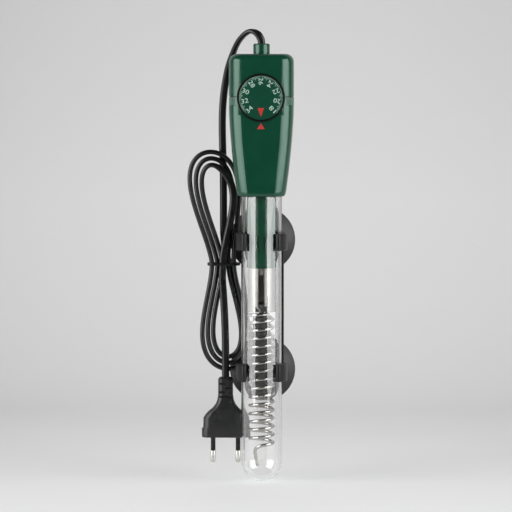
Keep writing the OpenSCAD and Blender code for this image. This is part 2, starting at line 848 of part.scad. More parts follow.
// C-clip round the tube with a socket for a cup behind it; end is where the rail plugs in
module clip(z, end) {
    half = clip_h / 2;
    reach = clip_out * 2;
    mid_r = clip_r + clip_wall / 2;
    color(black) difference() {
        union() {
            translate([0, axis_y, z - half]) difference() {
                cylinder(r = clip_out, h = clip_h);
                translate([0, 0, -1]) linear_extrude(clip_h + 2)
                    polygon([[0, 0], [-reach * sin(clip_open), -reach * cos(clip_open)],
                             [reach * sin(clip_open), -reach * cos(clip_open)]]);
            }
            for (side = [-1, 1])
                translate([side * mid_r * sin(clip_open), axis_y - mid_r * cos(clip_open), z - half])
                    cylinder(d = clip_wall, h = clip_h);
            along_y(0, axis_y + clip_r, z) cylinder(d = boss_d, h = boss_face_y - axis_y - clip_r);
        }
        translate([0, axis_y, z - half - 5]) cylinder(r = clip_r, h = clip_h + 10);
        along_y(0, web_y - 1, z) cylinder(d = neck_hole, h = socket_web + 2);
        along_y(0, axis_y, z) cylinder(d = socket_d, h = web_y - axis_y);
        rail_shape(z + end * (half - rail_in) - 10 * (1 - end) / 2, 10, run);
    }
}

// Cross-section of the rail, from z up, grown all round by g
module rail_shape(z, h, g) {
    translate([rail_x - rail_t / 2 - g, rail_y - rail_w / 2 - g, z])
        cube([rail_t + 2 * g, rail_w + 2 * g, h]);
}

module upper_clip() {
    clip(0, -1);
}

module lower_clip() {
    clip(-clip_pitch, 1);
}

module clip_rail() {
    inner = clip_h / 2 - rail_in + run;
    color(black) rail_shape(-clip_pitch + inner, clip_pitch - 2 * inner, 0);
}

// Distance in front of the wall of the cup's outside, at radius r
function cup_out(r) = rim_edge + (cup_h - rim_edge) * pow((cup_r - r) / (cup_r - shoulder_r), 1.15);
function cup_in(r) = hollow * (1 - pow(r / (cup_r - rim_land), 2));

module cup(z) {
    steps = 8;
    outer = [for (k = [0 : steps]) let (r = cup_r - (cup_r - shoulder_r) * k / steps) [r, cup_out(r)]];
    inner = [for (k = [steps : -1 : 0]) let (r = (cup_r - rim_land) * (1 - k / steps)) [r, cup_in(r)]];
    color(grey) translate([0, 0, z]) rotate([90, 0, 0]) union() {
        rotate_extrude() polygon(concat([[cup_r, 0]], outer, [[0, cup_h]], inner));
        translate([0, 0, cup_h - eps])
            cylinder(d = neck_d, h = socket_web + 2 * play + eps);
        translate([0, 0, cup_h + socket_web + 2 * play]) cylinder(d = button_d, h = button_t);
    }
}

module upper_cup() {
    cup(0);
}

module lower_cup() {
    cup(-clip_pitch);
}

// ---------- cord ----------

// Free run of the cord: clamp, gland, arch, down behind the head, through the waist
// and across behind the hank to where its first loop begins; [x, y, z, turn]
lead_points = [
    [0, -33, 123, 0], [0, -33, 130, 0], [0, -33, 138, 0], [0, -33, 146.5, 0], [-0.5, -33, 149.5, 0],
    [-2.5, -32.5, 153, 10], [-6, -31, 155.2, 30], [-9.5, -29, 155, 50], [-13.6, -26, 152.2, 60],
    [-17.8, -21.5, 147, 60], [-21.6, -16.5, 139, 50], [-25, -12, 129, 30], [-27.5, -8.6, 117, 10],
    [-29.2, -6.4, 104, 0], [-29.9, -5.9, 90, 0], [-29.8, -5.9, 75, 0], [-29.4, -5.9, 60, 0],
    [-29.1, -5.9, 45, 0], [-29, -5.9, 30, 0], [-29, -5.9, 15, 0], [-28.8, -5.9, 3, 0],
    [-27.6, -5.9, -7, 0], [-25.4, -5.9, -17, 0], [-22.6, -5.9, -26, 0], [-19.5, -5.9, -35, 0],
    [-17, -5.9, -44, 0], [-15.3, -5.9, -53, 0], [-13.9, -6, -62.4, 6], [-10.7, -6.1, -69, -4],
    [-8.3, -7.7, -76, -46], [-8.7, -10.1, -83.2, -70], [-11.2, -10.8, -89, -80]];

// Last run of the cord, in front of the lower loops, down into the plug
tail_points = [
    [-29.6, -16.3, -28, 0], [-28.8, -16.3, -40, 0], [-28.1, -16.3, -52, 0], [-27.6, -16.3, -64, 0],
    [-27.3, -16.2, -76, 0], [-27.2, -16.2, -88, 0], [-27.2, -16.2, -98, 0]];

// Half width of a teardrop loop, 0 at the waist, 1 at its widest
function teardrop(t) =
    let (h = acos(sqrt(1 / (2 + drop_power))))
    sin(t) * pow(abs(sin(t / 2)), drop_power) / (sin(2 * h) * pow(sin(h), drop_power));

// Half distance at the waist between the runs of a loop, s laps from the hank's start
function waist_offset(s) =
    lap_step * lookup(s, [[0, 3], [0.5, 2], [1, 2], [1.5, 1], [2, 1], [2.5, 0], [3, 0]]);

// Point of the hank s laps from its start: a lower loop, then an upper loop, and so on.
// Past the last loop's top the cord climbs to the front, turns its flat side forwards and drifts right.
function hank_point(s) =
    let (half = floor(2 * s + 0.0001), up = half % 2,
         tau = 360 * (2 * s - half), t = tau + spread * sin(tau),
         side = up == 1 ? -1 : 1,
         w = up == 1 ? up_w - up_w_step * s : low_w - low_w_step * s,
         h = up == 1 ? up_h - up_h_step * s : low_h - low_h_step * s,
         z = waist_z - side * h * (1 - cos(t)) / 2,
         off = side * (waist_offset(s) * cos(t / 2) + w * teardrop(t)),
         right = drift * ease(s, drift_from, drift_to) * (1 - ease(s, drift_to, drift_end)))
    [waist_x + (up == 1 ? up_lean : low_lean) * (z - waist_z) + off + right,
     hank_y + (front_cord_y - hank_y) * ease(s, climb_from, climb_to), z,
     90 * (1 - ease(s, turn_from, turn_to))];

hank_count = round((laps - hank_start) * loop_rings);
hank_route = [for (i = [0 : hank_count])
    hank_point(hank_start + (laps - hank_start) * i / hank_count)];

// Least distance from the edges of a route's rings to other rings of it, measured in those
// rings' own planes: outside the flat section with round edges when above 0
function least_gap(route, section, apart) =
    let (count = len(route),
         middle = [for (i = [0 : count - 1]) route_point(route, i)],
         rings = [for (i = [0 : count - 1]) swept_ring(route, i, section)],
         wide = [for (r = rings) unit(r[0] - r[len(r) / 2])],
         along = [for (i = [0 : count - 1]) unit(middle[min(i + 1, count - 1)] - middle[max(i - 1, 0)])],
         thin = [for (i = [0 : count - 1]) cross(along[i], wide[i])],
         step = 2.4)
    min([for (i = [0 : count - 1]) for (j = [0 : count - 1])
        if (abs(i - j) >= apart && norm(middle[i] - middle[j]) < 2.5 * cord_w)
            for (n = [0 : len(rings[i]) - 1])
                for (p = [rings[i][n], (rings[i][n] + rings[i][(n + 1) % len(rings[i])]) / 2])
                    let (q = p - middle[j])
                    if (abs(q * along[j]) < step)
                        norm([max(abs(q * wide[j]) - (cord_w - cord_t) / 2, 0), q * thin[j]])
                            - cord_t / 2]);

echo("least gap of the hank to itself", least_gap(hank_route, cord_section6, 8));

hank_first = hank_route[0];
hank_last = hank_route[len(hank_route) - 1];

module cord_lead() {
    color(black) tube(concat(lead_points, [[hank_first.x, hank_first.y, hank_first.z, -90]]), cord_section8);
}

module cord_hank() {
    color(black) tube(hank_route, cord_section6);
}

module cord_tail() {
    color(black) tube(concat([hank_last], tail_points, [[plug_x, plug_y, plug_top, 0]]),
                      cord_section8);
}

// Tie round the waist: a flat loop with a twisted knob at its right end
module cord_tie() {
    left = waist_x - 2 * lap_step - cord_t / 2 - gap;
    right = waist_x + 2 * lap_step + cord_t / 2 + gap;
    front = front_cord_y - cord_t / 2 - gap;
    back = back_y + cord_t / 2 + gap;
    w = right - left;
    d = back - front;
    thick = 1.4;
    high = 2;
    inner_r = 3;
    color(black) union() {
        translate([(left + right) / 2, (front + back) / 2, waist_z - high / 2]) difference() {
            linear_extrude(high) polygon(outline(w + 2 * thick, d + 2 * thick, inner_r + thick, 6));
            translate([0, 0, -1]) linear_extrude(high + 2) polygon(outline(w, d, inner_r, 6));
        }
        translate([right + thick, (front + back) / 2, waist_z]) sphere(d = 2.6);
    }
}

// ---------- plug ----------

// Levels of the plug, from its face up: [height above the face, width, depth, corner]
plug_levels = [
    [0, 34.5, 12.7, 5], [0.8, 35.3, 13.5, 5.4], [6.8, 35.3, 13.5, 5.4], [7.2, 33.4, 12.9, 5.2],
    [14.4, 33, 12.9, 5.2], [17, 30, 13, 5], [19.4, 25.6, 12.2, 4.6], [22, 19.4, 11, 4.2],
    [25, 14.6, 10, 3.8], [28, 12.2, 9.4, 3.6], [32, 11, 9, 3.5], [43.5, 11, 9, 3.5],
    [45, 8.6, 6.8, 2.8]];

module relief_slots() {
    slot_h = 1.6;
    slot_x = 4.5;
    stem_w = cord_w + 1.6;
    stem_t = cord_t + 1.6;
    for (s = [[-1, 40.2, 0], [1, 37, 0], [-1, 33.8, 0], [0, 30.4, 1]])
        translate([plug_x, plug_y, plug_face + s[1] - slot_h / 2]) difference() {
            if (s[2] == 1)
                translate([-slot_x, -10, 0]) cube([2 * slot_x, 20, slot_h]);
            else
                translate([s[0] < 0 ? -slot_x : 0.4, -10, 0]) cube([slot_x - 0.4, 20, slot_h]);
            translate([-stem_w / 2, -stem_t / 2, -1]) cube([stem_w, stem_t, slot_h + 2]);
        }
}

module plug_body() {
    color(grey) difference() {
        translate([plug_x, plug_y, plug_face]) loft(plug_levels, 4);
        relief_slots();
        translate([plug_x - 7, plug_y - 6.75 - 1, plug_face + 12]) cube([14, 1.8, 9.5]);
        for (side = [-1, 1]) translate([plug_x + side * pin_pitch / 2, plug_y, plug_face - 1])
            cylinder(d = pin_core + 2 * run, h = 9);
    }
}

module plug_pins() {
    tip_top = plug_face - pin_sleeve;
    tip_low = plug_face - pin_len + pin_d / 2;
    color(brass) for (side = [-1, 1]) translate([plug_x + side * pin_pitch / 2, plug_y, 0]) union() {
        translate([0, 0, tip_top - eps]) cylinder(d = pin_core, h = pin_sleeve + 7.9);
        translate([0, 0, tip_low]) cylinder(d = pin_d, h = tip_top - tip_low);
        translate([0, 0, tip_low]) sphere(d = pin_d);
    }
}

module plug_sleeves() {
    color(black) for (side = [-1, 1])
        translate([plug_x + side * pin_pitch / 2, plug_y, plug_face - pin_sleeve]) difference() {
            cylinder(d = pin_d - sleeve_step, h = pin_sleeve);
            translate([0, 0, -1]) cylinder(d = pin_core + 2 * run, h = pin_sleeve + 2);
        }
}

head_cap();
head_body();
joint_collar();
dial_housing();
head_pointer();
cord_gland();
gland_seal();
cord_clamp();
clamp_screws();
glass_tube();
tube_seal();
tube_stopper();
thermostat_carrier();
carrier_ring();
metal_sleeve();
thermostat_base();
fixed_contact();
snap_magnet();
ceramic_plug();
coil_core();
heating_coil();
lead_wires();
suppressor();
cord_lead();
cord_hank();
cord_tail();
cord_tie();
plug_body();
plug_pins();
plug_sleeves();
dial();
dial_pointer();
dial_shaft();
shaft_seal();
shaft_clip();
dial_cam();
push_rod();
rod_spring();
bimetal_arm();
moving_contact();
upper_clip();
lower_clip();
clip_rail();
upper_cup();
lower_cup();
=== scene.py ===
from math import acos, cos, pi, radians, sin, sqrt

import bmesh
import bpy
from mathutils import Matrix, Vector


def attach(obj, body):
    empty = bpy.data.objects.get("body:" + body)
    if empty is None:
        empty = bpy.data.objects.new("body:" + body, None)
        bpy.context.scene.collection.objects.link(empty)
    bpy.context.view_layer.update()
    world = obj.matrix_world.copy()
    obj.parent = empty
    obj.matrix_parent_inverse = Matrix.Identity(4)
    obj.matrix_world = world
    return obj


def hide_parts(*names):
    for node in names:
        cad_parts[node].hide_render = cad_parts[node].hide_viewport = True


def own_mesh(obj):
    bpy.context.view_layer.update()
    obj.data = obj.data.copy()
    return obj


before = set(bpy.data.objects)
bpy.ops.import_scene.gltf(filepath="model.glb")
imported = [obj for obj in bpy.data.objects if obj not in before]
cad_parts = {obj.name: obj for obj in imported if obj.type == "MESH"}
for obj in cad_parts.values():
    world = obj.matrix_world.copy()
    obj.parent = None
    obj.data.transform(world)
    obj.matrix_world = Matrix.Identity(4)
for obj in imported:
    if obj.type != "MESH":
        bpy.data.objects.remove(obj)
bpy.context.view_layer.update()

# Sizes are written in millimetres, as on a drawing; MM brings them to metres.
MM = 0.001
AXIS_Y = -33.0
FULL = 2 * pi


# ---------- camera and studio ----------

def place_camera():
    azimuth, elevation, distance, half_view = radians(1.5), radians(3), 3.0, 0.18944
    back = Vector((sin(azimuth) * cos(elevation), -cos(azimuth) * cos(elevation), sin(elevation)))
    lens = bpy.data.cameras.new("camera")
    lens.sensor_width = 36
    lens.lens = lens.sensor_width / 2 / (half_view / distance)
    lens.clip_end = 20
    camera = bpy.data.objects.new("camera", lens)
    camera.location = Vector((-0.00407, -0.033, -0.01073)) + back * distance
    camera.rotation_mode = "QUATERNION"
    camera.rotation_quaternion = (-back).to_track_quat("-Z", "Y")
    bpy.context.scene.collection.objects.link(camera)
    bpy.context.scene.camera = camera
    bpy.context.scene.view_settings.view_transform = "Standard"


place_camera()


# ---------- materials ----------

def sum_of(tree, operation, a, b, c=None):
    """Math node on links or plain numbers."""
    node = tree.nodes.new("ShaderNodeMath")
    node.operation = operation
    for place, value in zip(node.inputs, (a, b, c)):
        if isinstance(value, (int, float)):
            place.default_value = value
        elif value is not None:
            tree.links.new(value, place)
    return node.outputs["Value"]


class Finish:
    """A new material with one Principled shader, read in the piece's own coordinates."""

    def __init__(self, name, colour, roughness, metallic=0.0, specular=0.5):
        self.material = bpy.data.materials.new(name)
        self.material.use_nodes = True
        self.tree = self.material.node_tree
        self.shader = self.tree.nodes["Principled BSDF"]
        self.place = self.tree.nodes.new("ShaderNodeTexCoord").outputs["Object"]
        self.shader.inputs["Base Color"].default_value = (*colour, 1)
        self.shader.inputs["Roughness"].default_value = roughness
        self.shader.inputs["Metallic"].default_value = metallic
        self.shader.inputs["Specular IOR Level"].default_value = specular

    def set(self, **values):
        for name, value in values.items():
            self.shader.inputs[name.replace("_", " ")].default_value = value
        return self

    def link(self, a, b):
        self.tree.links.new(a, b)

    def axes(self):
        """X, Y and Z in the piece's own coordinates."""
        node = self.tree.nodes.new("ShaderNodeSeparateXYZ")
        self.link(self.place, node.inputs["Vector"])
        return node.outputs["X"], node.outputs["Y"], node.outputs["Z"]

    def stretched(self, scale):
        node = self.tree.nodes.new("ShaderNodeMapping")
        node.inputs["Scale"].default_value = scale
        self.link(self.place, node.inputs["Vector"])
        return node.outputs["Vector"]

    def noise(self, scale, detail=3, stretch=None):
        node = self.tree.nodes.new("ShaderNodeTexNoise")
        node.inputs["Scale"].default_value = scale
        node.inputs["Detail"].default_value = detail
        self.link(self.stretched(stretch) if stretch else self.place, node.inputs["Vector"])
        return node.outputs["Fac"]

    def ramp(self, value, stops):
        node = self.tree.nodes.new("ShaderNodeValToRGB")
        elements = node.color_ramp.elements
        for place, _ in stops[1:-1]:
            elements.new(place)
        elements[0].position, elements[-1].position = stops[0][0], stops[-1][0]
        for element, (_, colour) in zip(elements, stops):
            element.color = (*colour, 1)
        self.link(value, node.inputs["Fac"])
        return node.outputs["Color"]

    def spread(self, value, low, high):
        node = self.tree.nodes.new("ShaderNodeMapRange")
        node.inputs["From Min"].default_value = 0.3
        node.inputs["From Max"].default_value = 0.7
        node.inputs["To Min"].default_value = low
        node.inputs["To Max"].default_value = high
        self.link(value, node.inputs["Value"])
        return node.outputs["Result"]

    def tint(self, value, dark, light):
        """Base colour that wanders between two tones."""
        self.link(self.ramp(value, [(0.3, dark), (0.7, light)]), self.shader.inputs["Base Color"])
        return self

    def rough(self, value, low, high):
        self.link(self.spread(value, low, high), self.shader.inputs["Roughness"])
        return self

    def bump(self, value, depth, strength=0.3):
        node = self.tree.nodes.new("ShaderNodeBump")
        node.inputs["Strength"].default_value = strength
        node.inputs["Distance"].default_value = depth
        self.link(value, node.inputs["Height"])
        self.link(node.outputs["Normal"], self.shader.inputs["Normal"])
        return self

    def clear_where(self, amount, colour=(1, 1, 1)):
        """Lets light straight through, in that colour, where amount is 1."""
        clear = self.tree.nodes.new("ShaderNodeBsdfTransparent")
        clear.inputs["Color"].default_value = (*colour, 1)
        mix = self.tree.nodes.new("ShaderNodeMixShader")
        self.link(amount, mix.inputs["Fac"])
        self.link(self.shader.outputs["BSDF"], mix.inputs[1])
        self.link(clear.outputs["BSDF"], mix.inputs[2])
        self.link(mix.outputs["Shader"], self.tree.nodes["Material Output"].inputs["Surface"])


def moulded(name, dark, light, low, high, grain=900, depth=0.00002):
    """Moulded plastic: two near tones, uneven gloss and a fine grain."""
    finish = Finish(name, light, (low + high) / 2)
    finish.tint(finish.noise(60), dark, light)
    finish.rough(finish.noise(240, 4), low, high)
    finish.bump(finish.noise(grain, 2), depth)
    return finish


def bright_metal(name, dark, light, low, high, stretch=(1, 1, 1), grain=1400, depth=0.000008):
    """Bare metal with faint drawing lines along one direction."""
    finish = Finish(name, light, (low + high) / 2, metallic=1.0)
    finish.tint(finish.noise(140, 3, stretch), dark, light)
    finish.rough(finish.noise(500, 4, stretch), low, high)
    finish.bump(finish.noise(grain, 2, stretch), depth)
    return finish


def mottled(name, dark, light, low, high, grain=1300):
    """Rough mineral or oxide skin with specks of two tones."""
    finish = Finish(name, light, (low + high) / 2)
    specks = finish.noise(grain, 5)
    finish.tint(specks, dark, light)
    finish.rough(specks, low, high)
    finish.bump(specks, 0.00005)
    return finish


def clear_glass():
    """Clear, darker at the edges, where the wall is looked through lengthways, and glossy outside alone."""
    finish = Finish("clear_glass", (1, 1, 1), 0.0)
    tree = finish.tree
    edge = tree.nodes.new("ShaderNodeLayerWeight")
    edge.inputs["Blend"].default_value = 0.5
    facing = edge.outputs["Facing"]
    finish.link(finish.ramp(facing, [(0.0, (1, 1, 1)), (0.72, (0.97, 0.98, 0.975)), (0.9, (0.62, 0.65, 0.64)),
                                     (1.0, (0.3, 0.33, 0.32))]), finish.shader.inputs["Base Color"])
    finish.set(Transmission_Weight=1.0, IOR=1.47, Coat_IOR=1.5, Coat_Roughness=0.0)
    gloss = finish.ramp(facing, [(0.0, (1, 1, 1)), (0.5, (1, 1, 1)), (0.75, (0.15, 0.15, 0.15)),
                                 (0.9, (0, 0, 0))])
    inside = tree.nodes.new("ShaderNodeNewGeometry").outputs["Backfacing"]
    finish.link(sum_of(tree, "MAXIMUM", sum_of(tree, "SUBTRACT", gloss, inside), 0.0),
                finish.shader.inputs["Coat Weight"])
    finish.rough(finish.noise(30), 0.0, 0.02)
    finish.clear_where(tree.nodes.new("ShaderNodeLightPath").outputs["Is Shadow Ray"], (0.93, 0.96, 0.95))
    return finish


def wire_colours():
    """One wire blue, the other brown, told apart by the side they lie on."""
    finish = Finish("wire_insulation", (0.05, 0.12, 0.4), 0.4)
    side = sum_of(finish.tree, "GREATER_THAN", finish.axes()[0], 0.0)
    finish.link(finish.ramp(side, [(0.0, (0.09, 0.035, 0.015)), (1.0, (0.03, 0.09, 0.36))]),
                finish.shader.inputs["Base Color"])
    finish.rough(finish.noise(300), 0.32, 0.45)
    finish.bump(finish.noise(1200, 2), 0.00001)
    return finish


green_shell = moulded("green_shell", (0.002, 0.044, 0.023), (0.003, 0.051, 0.027), 0.2, 0.27)
green_shell.set(Specular_IOR_Level=0.78, Specular_Tint=(0.72, 1, 0.87, 1))
# Painted shade: a darker copy of the shell's green, so the carrier reads dim behind the glass.
shaded_green_core = moulded("shaded_green_core", (0.002, 0.03, 0.015), (0.004, 0.04, 0.021), 0.15, 0.22)
green_dial = moulded("green_dial", (0.002, 0.045, 0.024), (0.003, 0.052, 0.028), 0.3, 0.38)
green_dial.set(Specular_Tint=(0.72, 1, 0.87, 1))
red_print = moulded("red_print", (0.42, 0.03, 0.024), (0.5, 0.04, 0.03), 0.35, 0.45)
mint_print = moulded("mint_print", (0.4, 0.57, 0.49), (0.5, 0.67, 0.58), 0.4, 0.5)
black_ring = moulded("black_ring", (0.0018, 0.0024, 0.002), (0.003, 0.0036, 0.0032), 0.4, 0.5)
black_ring.set(Specular_IOR_Level=0.2)
black_plastic = moulded("black_plastic", (0.0035, 0.0035, 0.0038), (0.006, 0.006, 0.0063), 0.34, 0.44)
black_plastic.set(Specular_IOR_Level=0.35)
plug_plastic = moulded("plug_plastic", (0.012, 0.012, 0.0125), (0.018, 0.018, 0.0185), 0.3, 0.42, 700,
                       0.00003)
black_rubber = moulded("black_rubber", (0.008, 0.008, 0.008), (0.012, 0.012, 0.012), 0.55, 0.7)
cup_rubber = moulded("cup_rubber", (0.02, 0.02, 0.0207), (0.027, 0.027, 0.0278), 0.38, 0.48, 500, 0.00003)
cup_rubber.set(Specular_IOR_Level=0.4)
cord_sheath = moulded("cord_sheath", (0.004, 0.004, 0.0042), (0.007, 0.007, 0.0073), 0.26, 0.36, 700, 0.00003)
glass = clear_glass()
sleeve_steel = bright_metal("sleeve_steel", (0.24, 0.233, 0.218), (0.3, 0.293, 0.275), 0.34, 0.44,
                            (1, 1, 0.05))
coil_steel = bright_metal("coil_steel", (0.4, 0.39, 0.37), (0.54, 0.53, 0.5), 0.12, 0.2)
plain_steel = bright_metal("plain_steel", (0.5, 0.5, 0.5), (0.62, 0.62, 0.62), 0.22, 0.34)
nickel = bright_metal("nickel", (0.6, 0.59, 0.55), (0.72, 0.71, 0.67), 0.18, 0.28)
bimetal = mottled("bimetal", (0.06, 0.057, 0.045), (0.26, 0.25, 0.2), 0.35, 0.6, 1700)
brass = bright_metal("brass", (0.6, 0.45, 0.2), (0.72, 0.56, 0.28), 0.2, 0.3, (1, 1, 0.1))
grey_ceramic = mottled("grey_ceramic", (0.03, 0.029, 0.024), (0.17, 0.16, 0.135), 0.55, 0.75)
dark_ceramic = mottled("dark_ceramic", (0.006, 0.006, 0.005), (0.03, 0.028, 0.025), 0.5, 0.7)
white_nylon = moulded("white_nylon", (0.7, 0.69, 0.65), (0.78, 0.77, 0.73), 0.35, 0.48)
yellow_case = moulded("yellow_case", (0.5, 0.36, 0.05), (0.6, 0.44, 0.08), 0.35, 0.5)
wire_skin = wire_colours()


# ---------- making and placing pieces ----------

def add_piece(name, shape, finish, body, nodes=(), sharp=34, weighted=False):
    """Turns a bmesh into a piece in place, shaded smooth up to sharp degrees."""
    mesh = bpy.data.meshes.new(name)
    shape.to_mesh(mesh)
    shape.free()
    mesh.shade_smooth()
    mesh.set_sharp_from_angle(angle=radians(sharp))
    mesh.materials.append(finish.material)
    piece = bpy.data.objects.new(name, mesh)
    bpy.context.scene.collection.objects.link(piece)
    if weighted:
        modifier = piece.modifiers.new("even_shading", "WEIGHTED_NORMAL")
        modifier.keep_sharp = True
        modifier.weight = 80
    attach(piece, body)
    if nodes:
        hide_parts(*nodes)
    return piece


def merged_copy(node):
    """The CAD node's own shape with its corners joined and its flat faces whole."""
    shape = bmesh.new()
    shape.from_mesh(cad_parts[node].data)
    bmesh.ops.remove_doubles(shape, verts=shape.verts, dist=0.002 * MM)
    bmesh.ops.dissolve_limit(shape, angle_limit=radians(0.5), verts=shape.verts, edges=shape.edges)
    return shape


def fillet(points, radii, steps=5):
    """A profile's corners rounded: points and one radius for each, 0 where it stays sharp."""
    made = []
    last = len(points) - 1
    for i, (point, radius) in enumerate(zip(points, radii)):
        if not radius or i in (0, last):
            made.append(point)
            continue
        corner = Vector(point)
        before = (Vector(points[i - 1]) - corner).normalized()
        after = (Vector(points[i + 1]) - corner).normalized()
        half = before.angle(after) / 2
        run = radius / (sin(half) / cos(half))
        middle = corner + (before + after).normalized() * (radius / sin(half))
        start, end = corner + before * run - middle, corner + after * run - middle
        for k in range(steps + 1):
            arm = start.slerp(end, k / steps)
            made.append(tuple(middle + arm.normalized() * radius))
    return made


def lathe(profile, steps=96, angle=FULL):
    """Spins a profile of (radius, height) round +Z. One that starts and ends on the axis closes itself."""
    shape = bmesh.new()
    verts = [shape.verts.new((radius * MM, 0, height * MM)) for radius, height in profile]
    edges = [shape.edges.new(pair) for pair in zip(verts, verts[1:])]
    if profile[0][0] > 0 or profile[-1][0] > 0:
        edges.append(shape.edges.new((verts[-1], verts[0])))
    bmesh.ops.spin(shape, geom=verts + edges, cent=(0, 0, 0), axis=(0, 0, 1), angle=angle,
                   steps=steps, use_merge=True)
    bmesh.ops.remove_doubles(shape, verts=shape.verts, dist=0.001 * MM)
    bmesh.ops.recalc_face_normals(shape, faces=shape.faces)
    return shape


def moved(shape, x, y, z):
    bmesh.ops.translate(shape, verts=shape.verts, vec=(x * MM, y * MM, z * MM))
    return shape


def facing_back(shape, x, y, z):
    """Lays a shape drawn along +Z along +Y instead, from (x, y, z)."""
    bmesh.ops.rotate(shape, verts=shape.verts, cent=(0, 0, 0), matrix=Matrix.Rotation(radians(-90), 3, "X"))
    return moved(shape, x, y, z)


def joined(*shapes):
    """One bmesh from several."""
    whole = bmesh.new()
    for shape in shapes:
        part = bpy.data.meshes.new("part")
        shape.to_mesh(part)
        shape.free()
        whole.from_mesh(part)
        bpy.data.meshes.remove(part)
    return whole


def block(low, high, soft=0.3, segments=3):
    """A box between two corners with its edges rounded."""
    shape = bmesh.new()
    bmesh.ops.create_cube(shape, size=1)
    size = [b - a for a, b in zip(low, high)]
    bmesh.ops.scale(shape, vec=[s * MM for s in size], verts=shape.verts)
    moved(shape, *[(a + b) / 2 for a, b in zip(low, high)])
    if soft:
        bmesh.ops.bevel(shape, geom=list(shape.edges), offset=soft * MM, affect="EDGES",
                        segments=segments, profile=0.5, material=-1)
    return shape


# ---------- routes that cords, coil and spring follow ----------

def turned_ring(route, i, section):
    """Section set across the route at ring i, turned as the route's fourth number says."""
    before, after = Vector(route[max(i - 1, 0)][:3]), Vector(route[min(i + 1, len(route) - 1)][:3])
    along = (after - before).normalized()
    turn = radians(route[i][3])
    across = Vector((cos(turn), sin(turn), 0))
    across = (across - across.dot(along) * along).normalized()
    up = along.cross(across)
    centre = Vector(route[i][:3])
    return [(centre + x * across + y * up) * MM for x, y in section]


def swept(route, section):
    """A closed skin through the rings of a route, with flat ends."""
    shape = bmesh.new()
    last = None
    for i in range(len(route)):
        ring = [shape.verts.new(p) for p in turned_ring(route, i, section)]
        if last is None:
            shape.faces.new(reversed(ring))
        else:
            for k in range(len(ring)):
                n = (k + 1) % len(ring)
                shape.faces.new((last[k], last[n], ring[n], ring[k]))
        last = ring
    shape.faces.new(last)
    bmesh.ops.recalc_face_normals(shape, faces=shape.faces)
    return shape


def round_section(diameter, sides):
    r = diameter / 2
    return [(r * cos(FULL * i / sides), r * sin(FULL * i / sides)) for i in range(sides)]


def flat_section(width, thick, steps=6):
    """A flat cord's section: two straight sides and two round edges."""
    r = thick / 2
    side = width / 2 - r
    return [(sign * side + r * cos(a), r * sin(a)) for sign, first in ((1, -pi / 2), (-1, pi / 2))
            for a in [first + pi * k / steps for k in range(steps + 1)]]


def smoothed(points, parts):
    """Curve through all points: Catmull-Rom, each stretch in that many parts."""
    made = []
    for i in range(len(points) - 1):
        a, b, c, d = (Vector(points[min(max(k, 0), len(points) - 1)]) for k in range(i - 1, i + 3))
        for k in range(parts):
            t = k / parts
            made.append(tuple(0.5 * (2 * b + (c - a) * t + (2 * a - 5 * b + 4 * c - d) * t * t
                                     + (3 * b - a - 3 * c + d) * t ** 3)))
    return made + [tuple(points[-1])]


def ease(x, start, end):
    t = min(1, max(0, (x - start) / (end - start)))
    return t * t * (3 - 2 * t)


# ---------- the cord ----------

CORD_W, CORD_T = 5.5, 3.5
WAIST_X, WAIST_Z = -29.2, -17.8
LAPS, HANK_START = 3, 0.21
HANK_Y, FRONT_Y = -11.1, -16.3

# Points of the cord's middle line, each with the turn of its flat section in degrees.
LEAD = [
    (0, -33, 123, 0), (0, -33, 130, 0), (0, -33, 138, 0), (0, -33, 146.5, 0), (-0.5, -33, 149.5, 0),
    (-2.5, -32.5, 153, 10), (-6, -31, 155.2, 30), (-9.5, -29, 155, 50), (-13.6, -26, 152.2, 60),
    (-17.8, -21.5, 147, 60), (-21.6, -16.5, 139, 50), (-25, -12, 129, 30), (-27.5, -8.6, 117, 10),
    (-29.2, -6.4, 104, 0), (-29.9, -5.9, 90, 0), (-29.8, -5.9, 75, 0), (-29.4, -5.9, 60, 0),
    (-29.1, -5.9, 45, 0), (-29, -5.9, 30, 0), (-29, -5.9, 15, 0), (-28.8, -5.9, 3, 0),
    (-27.6, -5.9, -7, 0), (-25.4, -5.9, -17, 0), (-22.6, -5.9, -26, 0), (-19.5, -5.9, -35, 0),
    (-17, -5.9, -44, 0), (-15.3, -5.9, -53, 0), (-13.9, -6, -62.4, 6), (-10.7, -6.1, -69, -4),
    (-8.3, -7.7, -76, -46), (-8.7, -10.1, -83.2, -70), (-11.2, -10.8, -89, -80)]
TAIL = [
    (-29.6, -16.3, -28, 0), (-28.8, -16.3, -40, 0), (-28.1, -16.3, -52, 0), (-27.6, -16.3, -64, 0),
    (-27.3, -16.2, -76, 0), (-27.2, -16.2, -88, 0), (-27.2, -16.2, -98, 0), (-27.2, -16.2, -102, 0)]


def teardrop(t):
    """Half width of a loop: 0 at the waist, 1 at its widest."""
    power = 2.1
    widest = acos(sqrt(1 / (2 + power)))
    return sin(t) * abs(sin(t / 2)) ** power / (sin(2 * widest) * sin(widest) ** power)


def waist_offset(s):
    """Half distance at the waist between the runs of a loop: it steps in by a cord at each crossing."""
    pitch = 4.1
    half = int(2 * s)
    steps = (3, 2, 2, 1, 1, 0, 0)
    return pitch * (steps[half] + (steps[min(half + 1, 6)] - steps[half]) * (2 * s - half))


